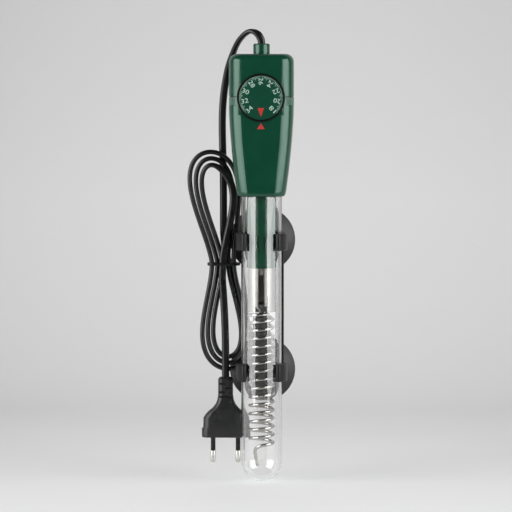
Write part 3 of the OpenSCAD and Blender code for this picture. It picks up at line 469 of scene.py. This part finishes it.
def hank_point(s):
    """Point s laps into the hank: a lower loop, an upper loop, and so on, each one smaller."""
    half = int(2 * s + 0.0001)
    up = half % 2
    tau = 360 * (2 * s - half)
    t = radians(tau + 12 * sin(radians(tau)))
    side = -1 if up else 1
    wide = 15.3 - 2.2 * s if up else 13.8 - 1.95 * s
    high = 87.1 - 4.8 * s if up else 79.6 - 4.6 * s
    z = WAIST_Z - side * high * (1 - cos(t)) / 2
    off = side * (waist_offset(s) * cos(t / 2) + wide * teardrop(t))
    lean = -0.108 if up else -0.048
    right = 4.4 * ease(s, 2.76, 2.86) * (1 - ease(s, 2.86, 2.985))
    return (WAIST_X + lean * (z - WAIST_Z) + off + right, HANK_Y + (FRONT_Y - HANK_Y) * ease(s, 2.6, 2.74), z,
            90 * (1 - ease(s, 2.72, 2.85)))


def hank_route(rings):
    return [hank_point(HANK_START + (LAPS - HANK_START) * i / rings) for i in range(rings + 1)]


def make_cord():
    """The cord in one piece, from its clamp over the arch, round the hank and down to the plug."""
    hank = hank_route(420)
    first = (*hank[0][:3], -90)
    lead = smoothed(LEAD + [first], 6)
    tail = smoothed([hank[-1]] + TAIL, 6)
    section = flat_section(CORD_W, CORD_T)
    shape = joined(swept(lead, section), swept(hank, section), swept(tail, section))
    piece = add_piece("power_cord", shape, cord_sheath, "heater",
                      ("cord_lead", "cord_hank", "cord_tail"), sharp=60)
    centre = [Vector(p[:3]) * MM for p in lead + hank[1:] + tail[1:]]
    return piece, centre


power_cord, cord_path = make_cord()


def make_tie():
    """Twisted wire tie: a flat loop round the waist and its knotted ends."""
    reach, slack, wall, bend = 8.2, 0.3, 1.4, 3.7
    left, right = WAIST_X - reach - CORD_T / 2 - slack, WAIST_X + reach + CORD_T / 2 + slack
    front, back = FRONT_Y - CORD_T / 2 - slack, LEAD[20][1] + CORD_T / 2 + slack
    inset = bend - wall / 2
    corners = []
    for cx, cy, start in ((right - inset, back - inset, 0), (left + inset, back - inset, 90),
                          (left + inset, front + inset, 180), (right - inset, front + inset, 270)):
        for k in range(9):
            a = radians(start + 90 * k / 8)
            corners.append((cx + bend * cos(a), cy + bend * sin(a), a))
    shape = bmesh.new()
    section = [(-0.62, -1), (0.62, -1), (0.62, 1), (-0.62, 1)]
    rings = [[shape.verts.new(((x + r * cos(a)) * MM, (y + r * sin(a)) * MM, (WAIST_Z + z) * MM))
              for r, z in section] for x, y, a in corners]
    for ring, after in zip(rings, rings[1:] + rings[:1]):
        for k in range(4):
            n = (k + 1) % 4
            shape.faces.new((ring[k], ring[n], after[n], after[k]))
    bmesh.ops.recalc_face_normals(shape, faces=shape.faces)
    edges = [e for e in shape.edges if e.calc_face_angle(0) > radians(60)]
    bmesh.ops.bevel(shape, geom=edges, offset=0.3 * MM, affect="EDGES", segments=2, profile=0.5, material=-1)
    knot = bmesh.new()
    bmesh.ops.create_uvsphere(knot, u_segments=24, v_segments=16, radius=1.25 * MM)
    moved(knot, right + wall, (front + back) / 2, WAIST_Z)
    return add_piece("cord_tie_loop", joined(shape, knot), black_plastic, "heater",
                     ("cord_tie",), sharp=40)


cord_tie = make_tie()


# ---------- head ----------

for node in ("head_cap", "head_body"):
    add_piece(node + "_shell", merged_copy(node), green_shell, "heater", (node,),
              sharp=30, weighted=True)

DIAL_Z = 106.6
BAND_LOW, BAND_TOP = 100.5, 107.5
HEAD_W, HEAD_D, HEAD_CORNER = 47.7, 36, 11


def rounded_outline(wide, deep, corner, steps=8):
    """Corners of a rounded rectangle, anticlockwise from its right side."""
    made = []
    for quarter, (sx, sy) in enumerate(((1, 1), (-1, 1), (-1, -1), (1, -1))):
        cx, cy = sx * (wide / 2 - corner), sy * (deep / 2 - corner)
        for k in range(steps + 1):
            a = radians(90 * (quarter + k / steps))
            made.append((cx + corner * cos(a), cy + corner * sin(a)))
    return made


def band_outline(inset, steps=8):
    """The head's outline at the band, that far in from its face."""
    return rounded_outline(HEAD_W - 2 * inset, HEAD_D - 2 * inset, max(1, HEAD_CORNER - inset), steps)


def cut_away(shape, cutter):
    """Takes one solid out of another."""
    meshes = []
    for part in (shape, cutter):
        meshes.append(bpy.data.meshes.new("cut"))
        part.to_mesh(meshes[-1])
        part.free()
    whole, tool = (bpy.data.objects.new("cut", mesh) for mesh in meshes)
    for piece in (whole, tool):
        bpy.context.scene.collection.objects.link(piece)
    modifier = whole.modifiers.new("cut", "BOOLEAN")
    modifier.operation = "DIFFERENCE"
    modifier.solver = "EXACT"
    modifier.object = tool
    result = bmesh.new()
    result.from_object(whole, bpy.context.evaluated_depsgraph_get())
    for piece in (whole, tool):
        bpy.data.objects.remove(piece)
    for mesh in meshes:
        bpy.data.meshes.remove(mesh)
    return result


def stacked(levels):
    """A closed ring of the head's outline at each (height, inset), bridged from one to the next."""
    shape = bmesh.new()
    rings = []
    for z, inset in levels:
        ring = [shape.verts.new((x * MM, (AXIS_Y + y) * MM, z * MM)) for x, y in band_outline(inset)]
        rings.append([shape.edges.new(pair) for pair in zip(ring, ring[1:] + ring[:1])])
    for ring, after in zip(rings, rings[1:] + rings[:1]):
        bmesh.ops.bridge_loops(shape, edges=ring + after)
    bmesh.ops.recalc_face_normals(shape, faces=shape.faces)
    return shape


def dial_hole():
    """The round hole for the dial's ring, as a solid to cut with."""
    r, front, back = 17.8, -56, -40.8
    return facing_back(lathe([(0, front), (r, front), (r, back), (0, back)], 96), 0, 0, DIAL_Z)


def make_collar():
    """Band between the shells: lips inside them, a groove under the cap and fine upright ribs."""
    lip, lip_in, inner, groove, face = 3, 2.5, 3.9, 2.2, 0.3
    levels = [(BAND_LOW - lip, inner), (BAND_LOW - lip, lip_in), (BAND_LOW, lip_in), (BAND_LOW, 1.0),
              (BAND_LOW + 0.25, 1.0), (BAND_LOW + 0.3, face), (BAND_TOP - 0.6, face),
              (BAND_TOP - 0.55, groove), (BAND_TOP, groove), (BAND_TOP, lip_in), (BAND_TOP + lip, lip_in),
              (BAND_TOP + lip, inner)]
    rib_r, rib_pitch, rib_low, rib_top, beside_dial = 0.42, 1.15, BAND_LOW + 0.5, BAND_TOP - 0.75, 18.4
    line = [Vector(p) for p in band_outline(0.5, 24)]
    line.append(line[0])
    ribs, left = [], 0.6
    for a, b in zip(line, line[1:]):
        run = (b - a).length
        while left < run:
            at = a + (b - a) * left / run
            left += rib_pitch
            if at.y < 0 and abs(at.x) < beside_dial:
                continue
            rib = bmesh.new()
            bmesh.ops.create_cone(rib, cap_ends=True, segments=8, radius1=rib_r * MM, radius2=rib_r * MM,
                                  depth=(rib_top - rib_low) * MM)
            ribs.append(moved(rib, at.x, AXIS_Y + at.y, (rib_top + rib_low) / 2))
        left -= run
    band = cut_away(stacked(levels), dial_hole())
    return add_piece("joint_band", joined(band, *ribs), green_shell, "heater",
                     ("joint_collar",), sharp=40)


def make_groove_shade():
    """Black ring in the groove under the cap: painted shade, a dark sheet that stands for the groove's shadow
    line between the cap and the band.
    """
    low, high, outer, inner = BAND_TOP - 0.6, BAND_TOP + 0.02, 0.55, 2.3
    ring = stacked([(low, inner), (low, outer), (high, outer), (high, inner)])
    return add_piece("joint_groove_shade", cut_away(ring, dial_hole()), black_rubber, "heater")


make_collar()
make_groove_shade()


def make_gland():
    """Nipple on the cap, with its narrower foot inside and the cord's hole through it."""
    low, cap_top, top, r, foot_r, hole_r = 133.8, 138.7, 146.3, 6.1, 4.4, 3.8
    outer = fillet([(4.0, low), (foot_r, low), (foot_r, cap_top), (r, cap_top), (r, top), (hole_r, top),
                    (hole_r, low)], [0, 0, 0, 0, 1.2, 0.4, 0])
    return add_piece("gland", moved(lathe(outer), 0, AXIS_Y, 0), green_shell, "heater",
                     ("cord_gland",))


make_gland()


def make_dial_ring():
    """Black cup round the dial, with its hub; drawn along +Y from the rim."""
    rim, floor, hub = -51.9, -47.2, -40.9
    profile = fillet(
        [(16.55, floor), (16.55, rim), (17.75, rim), (17.75, floor + 2), (5.5, floor + 2), (5.5, hub),
         (3.05, hub), (3.05, floor + 1), (4.0, floor + 1), (4.0, floor), (16.55, floor)],
        [0, 0.3, 0.5, 0.3, 0.5, 0.4, 0.2, 0, 0, 0.2, 0])
    return add_piece("dial_ring", facing_back(lathe(profile[:-1], 128), 0, 0, DIAL_Z), black_ring, "heater",
                     ("dial_housing",))


make_dial_ring()


# ---------- tube and what shows through it ----------

def make_tube():
    """Glass tube with its round bottom and its fire-polished rim."""
    outer, inner, top, low = 15.0, 13.7, 57.6, -163.0
    profile = [(outer * sin(radians(a)), low - outer * cos(radians(a))) for a in range(0, 91, 5)]
    profile += [(outer, top - 0.4), (outer - 0.1, top), (inner + 0.1, top), (inner, top - 0.1)]
    profile += [(inner * sin(radians(a)), low - inner * cos(radians(a))) for a in range(90, -1, -5)]
    return add_piece("tube_of_glass", moved(lathe(profile, 128), 0, AXIS_Y, 0), glass, "heater",
                     ("glass_tube",))


make_tube()

# The carrier parts take the darker green, painted shade for their look behind the glass.
for node in ("thermostat_carrier", "carrier_ring"):
    add_piece(node + "_core", merged_copy(node), shaded_green_core, "heater", (node,),
              weighted=True)


def prism(corners, front, back):
    """A flat outline of (x, z) corners drawn out along Y."""
    shape = bmesh.new()
    face = shape.faces.new([shape.verts.new((x * MM, front * MM, z * MM)) for x, z in corners])
    drawn = bmesh.ops.extrude_face_region(shape, geom=[face])
    bmesh.ops.translate(shape, verts=[v for v in drawn["geom"] if isinstance(v, bmesh.types.BMVert)],
                        vec=(0, (back - front) * MM, 0))
    bmesh.ops.recalc_face_normals(shape, faces=shape.faces)
    return shape


def make_sleeve():
    """Sleeve of the switch; its end is cut to a tongue under the slot, with a free strip beside it."""
    notches = [[(2.3, -47.6), (0.2, -53), (4.2, -53), (4.2, -47.6)],
               [(-1.9, -43.9), (-1.6, -46.4), (-1.0, -49.2), (0.1, -52.3), (0.3, -53), (2.3, -47.5),
                (2.3, -43.9)],
               [(-4.4, -53), (-4.4, -48.2), (-3.1, -48.8), (-1.9, -50.4), (-0.9, -53)],
               [(4.19, -53), (4.19, -39.6), (4.75, -39.6), (4.75, -53)]]
    shape = merged_copy("metal_sleeve")
    for corners in notches:
        shape = cut_away(shape, prism(corners, -47, -38))
    return add_piece("switch_sleeve", shape, sleeve_steel, "heater", ("metal_sleeve",))


make_sleeve()


def coil_route():
    """Straight out of the ceramic plug, round the helix, then the free tail."""
    wide, inner, top, pitch, turns, per_turn = 8.6, 4.0, -54.6, 6.1, 15.5, 32

    def ring(r, a, z):
        return (r * cos(radians(a)), AXIS_Y + r * sin(radians(a)), z, a)

    route = [(inner, AXIS_Y, z, 0) for z in (-47.8, -49.1, -50.4)]
    for k in range(13):
        t = k / 12
        route.append(ring(inner + (wide - inner) * t * t * (3 - 2 * t), 180 + 180 * (1 - t * t),
                          top + 1.2 * (1 - t)))
    for i in range(1, int(turns * per_turn) + 1):
        route.append(ring(wide, 180 - 360 * i / per_turn, top - pitch * i / per_turn))
    for k in range(1, 25):
        t = k / 24
        route.append(ring(wide - 3.6 * t * t * (3 - 2 * t) - 2 * t ** 4,
                          180 - 360 * turns - 165 * (1 - (1 - t) ** 2),
                          top - pitch * turns - 4.5 * t - 13 * t ** 3))
    return route


add_piece("coil", swept(coil_route(), round_section(2.56, 16)), coil_steel, "heater",
          ("heating_coil",), sharp=60)


def spring_route():
    """Seven even turns round the push rod."""
    low, high, r, turns, per_turn = 61.05, 75.75, 2.8, 7, 24
    last = turns * per_turn
    return [(r * cos(FULL * i / per_turn), AXIS_Y + r * sin(FULL * i / per_turn),
             low + (high - low) * i / last, 360 * i / per_turn) for i in range(last + 1)]


rod_spring = add_piece("rod_spring_wire", swept(spring_route(), round_section(0.78, 10)), plain_steel,
                       "heater", ("rod_spring",), sharp=60)
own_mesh(rod_spring)


# ---------- dial ----------

add_piece("dial_disc", merged_copy("dial"), green_dial, "dial_body", ("dial",))


def numeral(word, wide, high, thick):
    """Raised figures, centred on the origin and facing +Z."""
    curve = bpy.data.curves.new("numeral", "FONT")
    curve.body = word
    curve.extrude = 0.5
    curve.resolution_u = 3
    holder = bpy.data.objects.new("numeral", curve)
    bpy.context.scene.collection.objects.link(holder)
    shape = bmesh.new()
    ready = holder.evaluated_get(bpy.context.evaluated_depsgraph_get())
    shape.from_mesh(bpy.data.meshes.new_from_object(ready))
    bpy.data.objects.remove(holder)
    bpy.data.curves.remove(curve)
    bmesh.ops.remove_doubles(shape, verts=shape.verts, dist=0.0005)
    lows = [min(v.co[k] for v in shape.verts) for k in range(3)]
    highs = [max(v.co[k] for v in shape.verts) for k in range(3)]
    bmesh.ops.translate(shape, verts=shape.verts, vec=[-(a + b) / 2 for a, b in zip(lows, highs)])
    bmesh.ops.scale(shape, verts=shape.verts,
                    vec=[size * MM / (b - a) for size, a, b in zip((wide, high, thick), lows, highs)])
    return shape


def on_dial(shape, angle, radius, turn=0):
    """Stands a shape drawn in XY on the dial's face, angle degrees clockwise from the top."""
    face = -51.6
    bmesh.ops.rotate(shape, verts=shape.verts, cent=(0, 0, 0), matrix=Matrix.Rotation(radians(turn), 3, "Z"))
    bmesh.ops.rotate(shape, verts=shape.verts, cent=(0, 0, 0), matrix=Matrix.Rotation(radians(90), 3, "X"))
    moved(shape, 0, face, radius)
    bmesh.ops.rotate(shape, verts=shape.verts, cent=(0, 0, 0), matrix=Matrix.Rotation(radians(angle), 3, "Y"))
    return moved(shape, 0, 0, DIAL_Z)


def make_dial_print():
    """Degrees every other one, read from the rim inwards, and the fine scale round the rim."""
    middle, step, rim, figure_r = 26, 33.75, 16.0, 12.1
    parts = [on_dial(numeral(str(middle - 2 * k), 5.2, 3.3, 0.2), k * step, figure_r, turn=-90)
             for k in range(-4, 5)]
    for k in range(-40, 41):
        angle = k * step / 10
        over_figure = abs(angle - step * round(angle / step)) < 9
        low = 15.35 if over_figure else 13.2 if k % 5 == 0 else 14.3
        tick = bmesh.new()
        bmesh.ops.create_cube(tick, size=1)
        bmesh.ops.scale(tick, verts=tick.verts, vec=(0.22 * MM, (rim - low) * MM, 0.16 * MM))
        parts.append(on_dial(tick, angle, (rim + low) / 2))
    return add_piece("dial_scale", joined(*parts), mint_print, "dial_body")


make_dial_print()


# ---------- clips, rail and cups ----------

CLIP_R, CLIP_WALL, CLIP_HALF, CLIP_OPEN = 15.1, 4.1, 6.35, 48
LOWER_Z = -97


def clip_section(soft):
    """Section of the clip's arm, with round corners."""
    inner, outer, half = CLIP_R, CLIP_R + CLIP_WALL, CLIP_HALF
    ring = fillet([(inner, 0), (inner, half), (outer, half), (outer, -half), (inner, -half), (inner, 0)],
                  [0, soft, soft, soft, soft, 0], 4)
    return ring[:-1]


def make_clip(name, node, z):
    """C-shaped clip with rounded ends, and the boss behind it that holds the cup's button."""
    soft = 0.7
    shape = bmesh.new()
    face = shape.faces.new([shape.verts.new((r * MM, 0, h * MM)) for r, h in clip_section(soft)])
    bmesh.ops.rotate(shape, verts=shape.verts, cent=(0, 0, 0),
                     matrix=Matrix.Rotation(radians(CLIP_OPEN - 90), 3, "Z"))
    bmesh.ops.spin(shape, geom=[face] + list(face.edges) + list(face.verts), cent=(0, 0, 0), axis=(0, 0, 1),
                   angle=radians(360 - 2 * CLIP_OPEN), steps=80, use_merge=False)
    bmesh.ops.recalc_face_normals(shape, faces=shape.faces)
    parts = [moved(shape, 0, AXIS_Y, 0)]
    half = CLIP_WALL / 2
    middle = CLIP_R + half
    painted_side_shade, ahead = middle * sin(radians(CLIP_OPEN)), middle * cos(radians(CLIP_OPEN))
    for side in (-1, 1):
        tip = lathe(fillet([(0, CLIP_HALF), (half, CLIP_HALF), (half, -CLIP_HALF), (0, -CLIP_HALF)],
                           [0, soft, soft, 0], 4), 40)
        parts.append(moved(tip, side * painted_side_shade, AXIS_Y - ahead, 0))
    boss = lathe(fillet([(6.0, 0), (8.0, 0), (8.0, 7.7), (4.0, 7.7), (4.0, 5.1), (6.0, 5.1)],
                        [0, 0, 0.8, 0.3, 0, 0]), 64)
    parts.append(facing_back(boss, 0, -17.9, 0))
    return add_piece(name, moved(joined(*parts), 0, 0, z), black_plastic, "bracket", (node,))


make_clip("upper_c_clip", "upper_clip", 0)
make_clip("lower_c_clip", "lower_clip", LOWER_Z)
add_piece("rail_strip", block((14.6, -27.15, -93.65), (16.4, -24.15, -3.35), 0.4), black_plastic, "bracket",
          ("clip_rail",))


def cup_profile():
    """Outside from the rim in to the shoulder, neck and button, and the hollow behind."""
    cup_r, shoulder_r, hollow_r, deep = 24.4, 6.9, 24.4 - 1.8, 5.6
    outside = []
    for k in range(25):
        r = cup_r - (cup_r - shoulder_r) * k / 24
        outside.append((r, 1 + 9 * ((cup_r - r) / (cup_r - shoulder_r)) ** 1.15))
    hollow = []
    for k in range(24, -1, -1):
        r = hollow_r * (1 - k / 24)
        hollow.append((r, deep * (1 - (r / hollow_r) ** 2)))
    front = fillet([outside[-1], (3.9, 10), (3.9, 13), (5.7, 13), (5.7, 15.4), (0, 15.4)],
                   [0, 0.4, 0.2, 0.5, 0.6, 0])
    return [(24.1, 0), (cup_r, 0.35)] + outside[:-1] + front + hollow[:-1] + [(22.6, 0.05)]


def make_cup(name, node, body, z):
    shape = lathe(cup_profile(), 128)
    bmesh.ops.rotate(shape, verts=shape.verts, cent=(0, 0, 0), matrix=Matrix.Rotation(radians(90), 3, "X"))
    return add_piece(name, moved(shape, 0, 0, z), cup_rubber, body, (node,), sharp=40)


make_cup("upper_suction_cup", "upper_cup", "upper_cup_body", 0)
make_cup("lower_suction_cup", "lower_cup", "lower_cup_body", LOWER_Z)


# ---------- plug ----------

PLUG_X, PLUG_Y, PLUG_FACE, PIN_PITCH = -27.2, -16.2, -146.8, 18.6

# The relief's slots go down to this block and not right through.
relief_core = block((PLUG_X - 4.8, PLUG_Y - 2.6, PLUG_FACE + 28),
                    (PLUG_X + 4.8, PLUG_Y + 2.6, PLUG_FACE + 42.5), 0.4)
plug = add_piece("plug_moulding", joined(merged_copy("plug_body"), relief_core), plug_plastic, "heater",
                 ("plug_body",), weighted=True)


def make_pins():
    """Round-ended pins, thinner under their sleeves and into the body, and the sleeves."""
    pin_r, thin_r, tip, shoulder, root = 2, 1.2, -17, -10, 7.9
    pins, sleeves = [], []
    for side in (-1, 1):
        x = PLUG_X + side * PIN_PITCH / 2
        profile = [(0, tip - pin_r)] + [(pin_r * sin(radians(a)), tip - pin_r * cos(radians(a)))
                                        for a in range(10, 91, 10)]
        profile += fillet([(pin_r, tip), (pin_r, shoulder), (thin_r, shoulder), (thin_r, root), (0, root)],
                          [0, 0.25, 0, 0.2, 0])[1:]
        pins.append(moved(lathe(profile, 48), x, PLUG_Y, PLUG_FACE))
        profile = fillet([(1.25, -9.95), (1.75, -9.95), (1.75, 0), (1.25, 0)], [0, 0.2, 0, 0])
        sleeves.append(moved(lathe(profile, 48), x, PLUG_Y, PLUG_FACE))
    return (add_piece("pins", joined(*pins), nickel, "heater", ("plug_pins",)),
            add_piece("pin_sleeves", joined(*sleeves), black_plastic, "heater",
                      ("plug_sleeves",)))


plug_pins, pin_sleeves = make_pins()


# ---------- finishes of the CAD nodes that show as they are ----------

KEPT = {
    "head_pointer": red_print, "dial_pointer": red_print, "gland_seal": black_rubber,
    "cord_clamp": black_plastic, "clamp_screws": plain_steel, "tube_seal": black_rubber,
    "tube_stopper": black_plastic, "thermostat_base": grey_ceramic, "fixed_contact": brass,
    "snap_magnet": plain_steel, "ceramic_plug": dark_ceramic, "coil_core": dark_ceramic,
    "lead_wires": wire_skin, "suppressor": yellow_case, "dial_shaft": plain_steel,
    "shaft_seal": black_rubber, "shaft_clip": plain_steel, "dial_cam": white_nylon,
    "push_rod": white_nylon, "bimetal_arm": bimetal, "moving_contact": brass,
}
for node, finish in KEPT.items():
    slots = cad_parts[node].data.materials
    if slots:
        slots[0] = finish.material
    else:
        slots.append(finish.material)


# ---------- floor, backdrop and lamps ----------

def plainly_seen(tree, glossy):
    """1 on rays straight from the camera, through glass or off metal, 0 on those that light the object."""
    path = tree.nodes.new("ShaderNodeLightPath").outputs
    seen = sum_of(tree, "MAXIMUM", path["Is Camera Ray"], path["Is Transmission Ray"])
    bounces = path["Diffuse Depth"]
    if glossy:
        seen = sum_of(tree, "MAXIMUM", seen, path["Is Glossy Ray"])
    else:
        bounces = sum_of(tree, "ADD", bounces, path["Glossy Depth"])
    return sum_of(tree, "MULTIPLY", seen, sum_of(tree, "LESS_THAN", bounces, 0.5))


def paler_when_seen(finish):
    """The tone that the camera, metal and glass see over the lit one: painted light falloff, brightest on the
    floor in front and darker up and to the sides, and even and unlit far out.
    """
    tree = finish.tree
    x, y, z = finish.axes()
    out = sum_of(tree, "MAXIMUM", sum_of(tree, "ABSOLUTE", x, 0), sum_of(tree, "MULTIPLY", y, -1))
    far = sum_of(tree, "MULTIPLY_ADD", out, 2.5, -1.1)
    far = sum_of(tree, "MINIMUM", sum_of(tree, "MAXIMUM", far, 0.0), 1.0)
    along = sum_of(tree, "MULTIPLY_ADD", sum_of(tree, "ADD", y, z), 0.3, 0.6)

    def grey(*stops):
        """Tones by how far back and up the backdrop is, in metres."""
        return finish.ramp(along, [(0.6 + 0.3 * place, (v, v, v)) for place, v in stops])

    lit = grey((-1.4, 0.2), (-0.75, 0.3), (-0.42, 0.6), (1.2, 0.6))
    finish.link(sum_of(tree, "MULTIPLY", lit, sum_of(tree, "MULTIPLY_ADD", far, -0.93, 1.0)),
                finish.shader.inputs["Base Color"])
    # Painted light falloff: the glow is brightest on the floor just in front of the heater, fades back and up
    # the backdrop, and is darker to the sides.
    painted_falloff = grey((-1.2, 0), (-0.4, 0.3), (0.9, 0.2), (1.2, 0.1))
    painted_side_shade = sum_of(tree, "MINIMUM", sum_of(tree, "MULTIPLY", x, x), 0.1)
    tone = sum_of(tree, "MULTIPLY_ADD", painted_side_shade, -0.8, painted_falloff)
    tone = sum_of(tree, "MULTIPLY", tone, sum_of(tree, "SUBTRACT", 1.0, far))
    tone = sum_of(tree, "MULTIPLY_ADD", far, 0.56, tone)
    finish.set(Emission_Color=(1, 1, 1, 1))
    finish.link(sum_of(tree, "MULTIPLY", sum_of(tree, "MAXIMUM", tone, 0.0), plainly_seen(tree, glossy=True)),
                finish.shader.inputs["Emission Strength"])


def make_backdrop():
    """Floor that runs back flat and bends up. Its far side isn't seen, nor its far front in gloss."""
    floor, bend, turn, front, top, wide = -0.1785, 0.55, 0.45, -1.6, 2.4, 5
    line = [(front, floor)]
    line += [(bend + turn * sin(radians(a)), floor + turn * (1 - cos(radians(a)))) for a in range(0, 91, 6)]
    line.append((bend + turn, top))
    shape = bmesh.new()
    verts = [shape.verts.new((-wide / 2, y, z)) for y, z in line]
    edges = [shape.edges.new(pair) for pair in zip(verts, verts[1:])]
    drawn = bmesh.ops.extrude_edge_only(shape, edges=edges)
    bmesh.ops.translate(shape, verts=[v for v in drawn["geom"] if isinstance(v, bmesh.types.BMVert)],
                        vec=(wide, 0, 0))
    bmesh.ops.recalc_face_normals(shape, faces=shape.faces)
    if sum(f.normal.z for f in shape.faces) < 0:
        bmesh.ops.reverse_faces(shape, faces=shape.faces)
    mesh = bpy.data.meshes.new("backdrop")
    shape.to_mesh(mesh)
    shape.free()
    mesh.shade_smooth()
    finish = Finish("backdrop", (0.6, 0.6, 0.6), 0.6, specular=0.2)
    finish.rough(finish.noise(8), 0.55, 0.65)
    paler_when_seen(finish)
    tree = finish.tree
    far_front = sum_of(tree, "LESS_THAN", finish.axes()[1], -0.6)
    path = tree.nodes.new("ShaderNodeLightPath").outputs
    mirrored = sum_of(tree, "GREATER_THAN", path["Glossy Depth"], 0.5)
    behind = tree.nodes.new("ShaderNodeNewGeometry").outputs["Backfacing"]
    finish.clear_where(sum_of(tree, "MAXIMUM", behind, sum_of(tree, "MULTIPLY", far_front, mirrored)))
    mesh.materials.append(finish.material)
    backdrop = bpy.data.objects.new("backdrop", mesh)
    bpy.context.scene.collection.objects.link(backdrop)


def add_softbox(name, azimuth, wide, high, lift, radiance, distance=1.25):
    """Rectangular lamp that faces the heater from that azimuth; radiance 1 is white."""
    lamp = bpy.data.lights.new(name, "AREA")
    lamp.shape = "RECTANGLE"
    lamp.size, lamp.size_y = wide, high
    lamp.energy = radiance * pi * wide * high
    softbox = bpy.data.objects.new(name, lamp)
    a = radians(azimuth)
    at = Vector((sin(a) * distance, -0.033 - cos(a) * distance, lift))
    softbox.location = at
    softbox.rotation_mode = "QUATERNION"
    softbox.rotation_quaternion = (at - Vector((0, -0.033, lift))).to_track_quat("Z", "Y")
    softbox.visible_camera = False
    bpy.context.scene.collection.objects.link(softbox)


def light_world(strength):
    """Even light from all round, less of it in gloss, and a plain grey where the world itself is seen."""
    world = bpy.data.worlds.new("studio")
    bpy.context.scene.world = world
    world.use_nodes = True
    tree = world.node_tree
    plain, seen = tree.nodes["Background"], tree.nodes.new("ShaderNodeBackground")
    plain.inputs["Color"].default_value = (1, 1, 1, 1)
    seen.inputs["Color"].default_value = (0.63, 0.63, 0.63, 1)
    mix = tree.nodes.new("ShaderNodeMixShader")
    tree.links.new(plainly_seen(tree, glossy=False), mix.inputs["Fac"])
    glossy = tree.nodes.new("ShaderNodeLightPath").outputs["Is Glossy Ray"]
    tree.links.new(sum_of(tree, "MULTIPLY_ADD", glossy, -0.7 * strength, strength), plain.inputs["Strength"])
    tree.links.new(plain.outputs["Background"], mix.inputs[1])
    tree.links.new(seen.outputs["Background"], mix.inputs[2])
    tree.links.new(mix.outputs["Shader"], tree.nodes["World Output"].inputs["Surface"])


make_backdrop()
add_softbox("softbox_left", -60, 1.2, 1.9, 0.1, 4.2)
add_softbox("softbox_right", 60, 1.2, 1.9, 0.1, 4.2)
light_world(0.15)
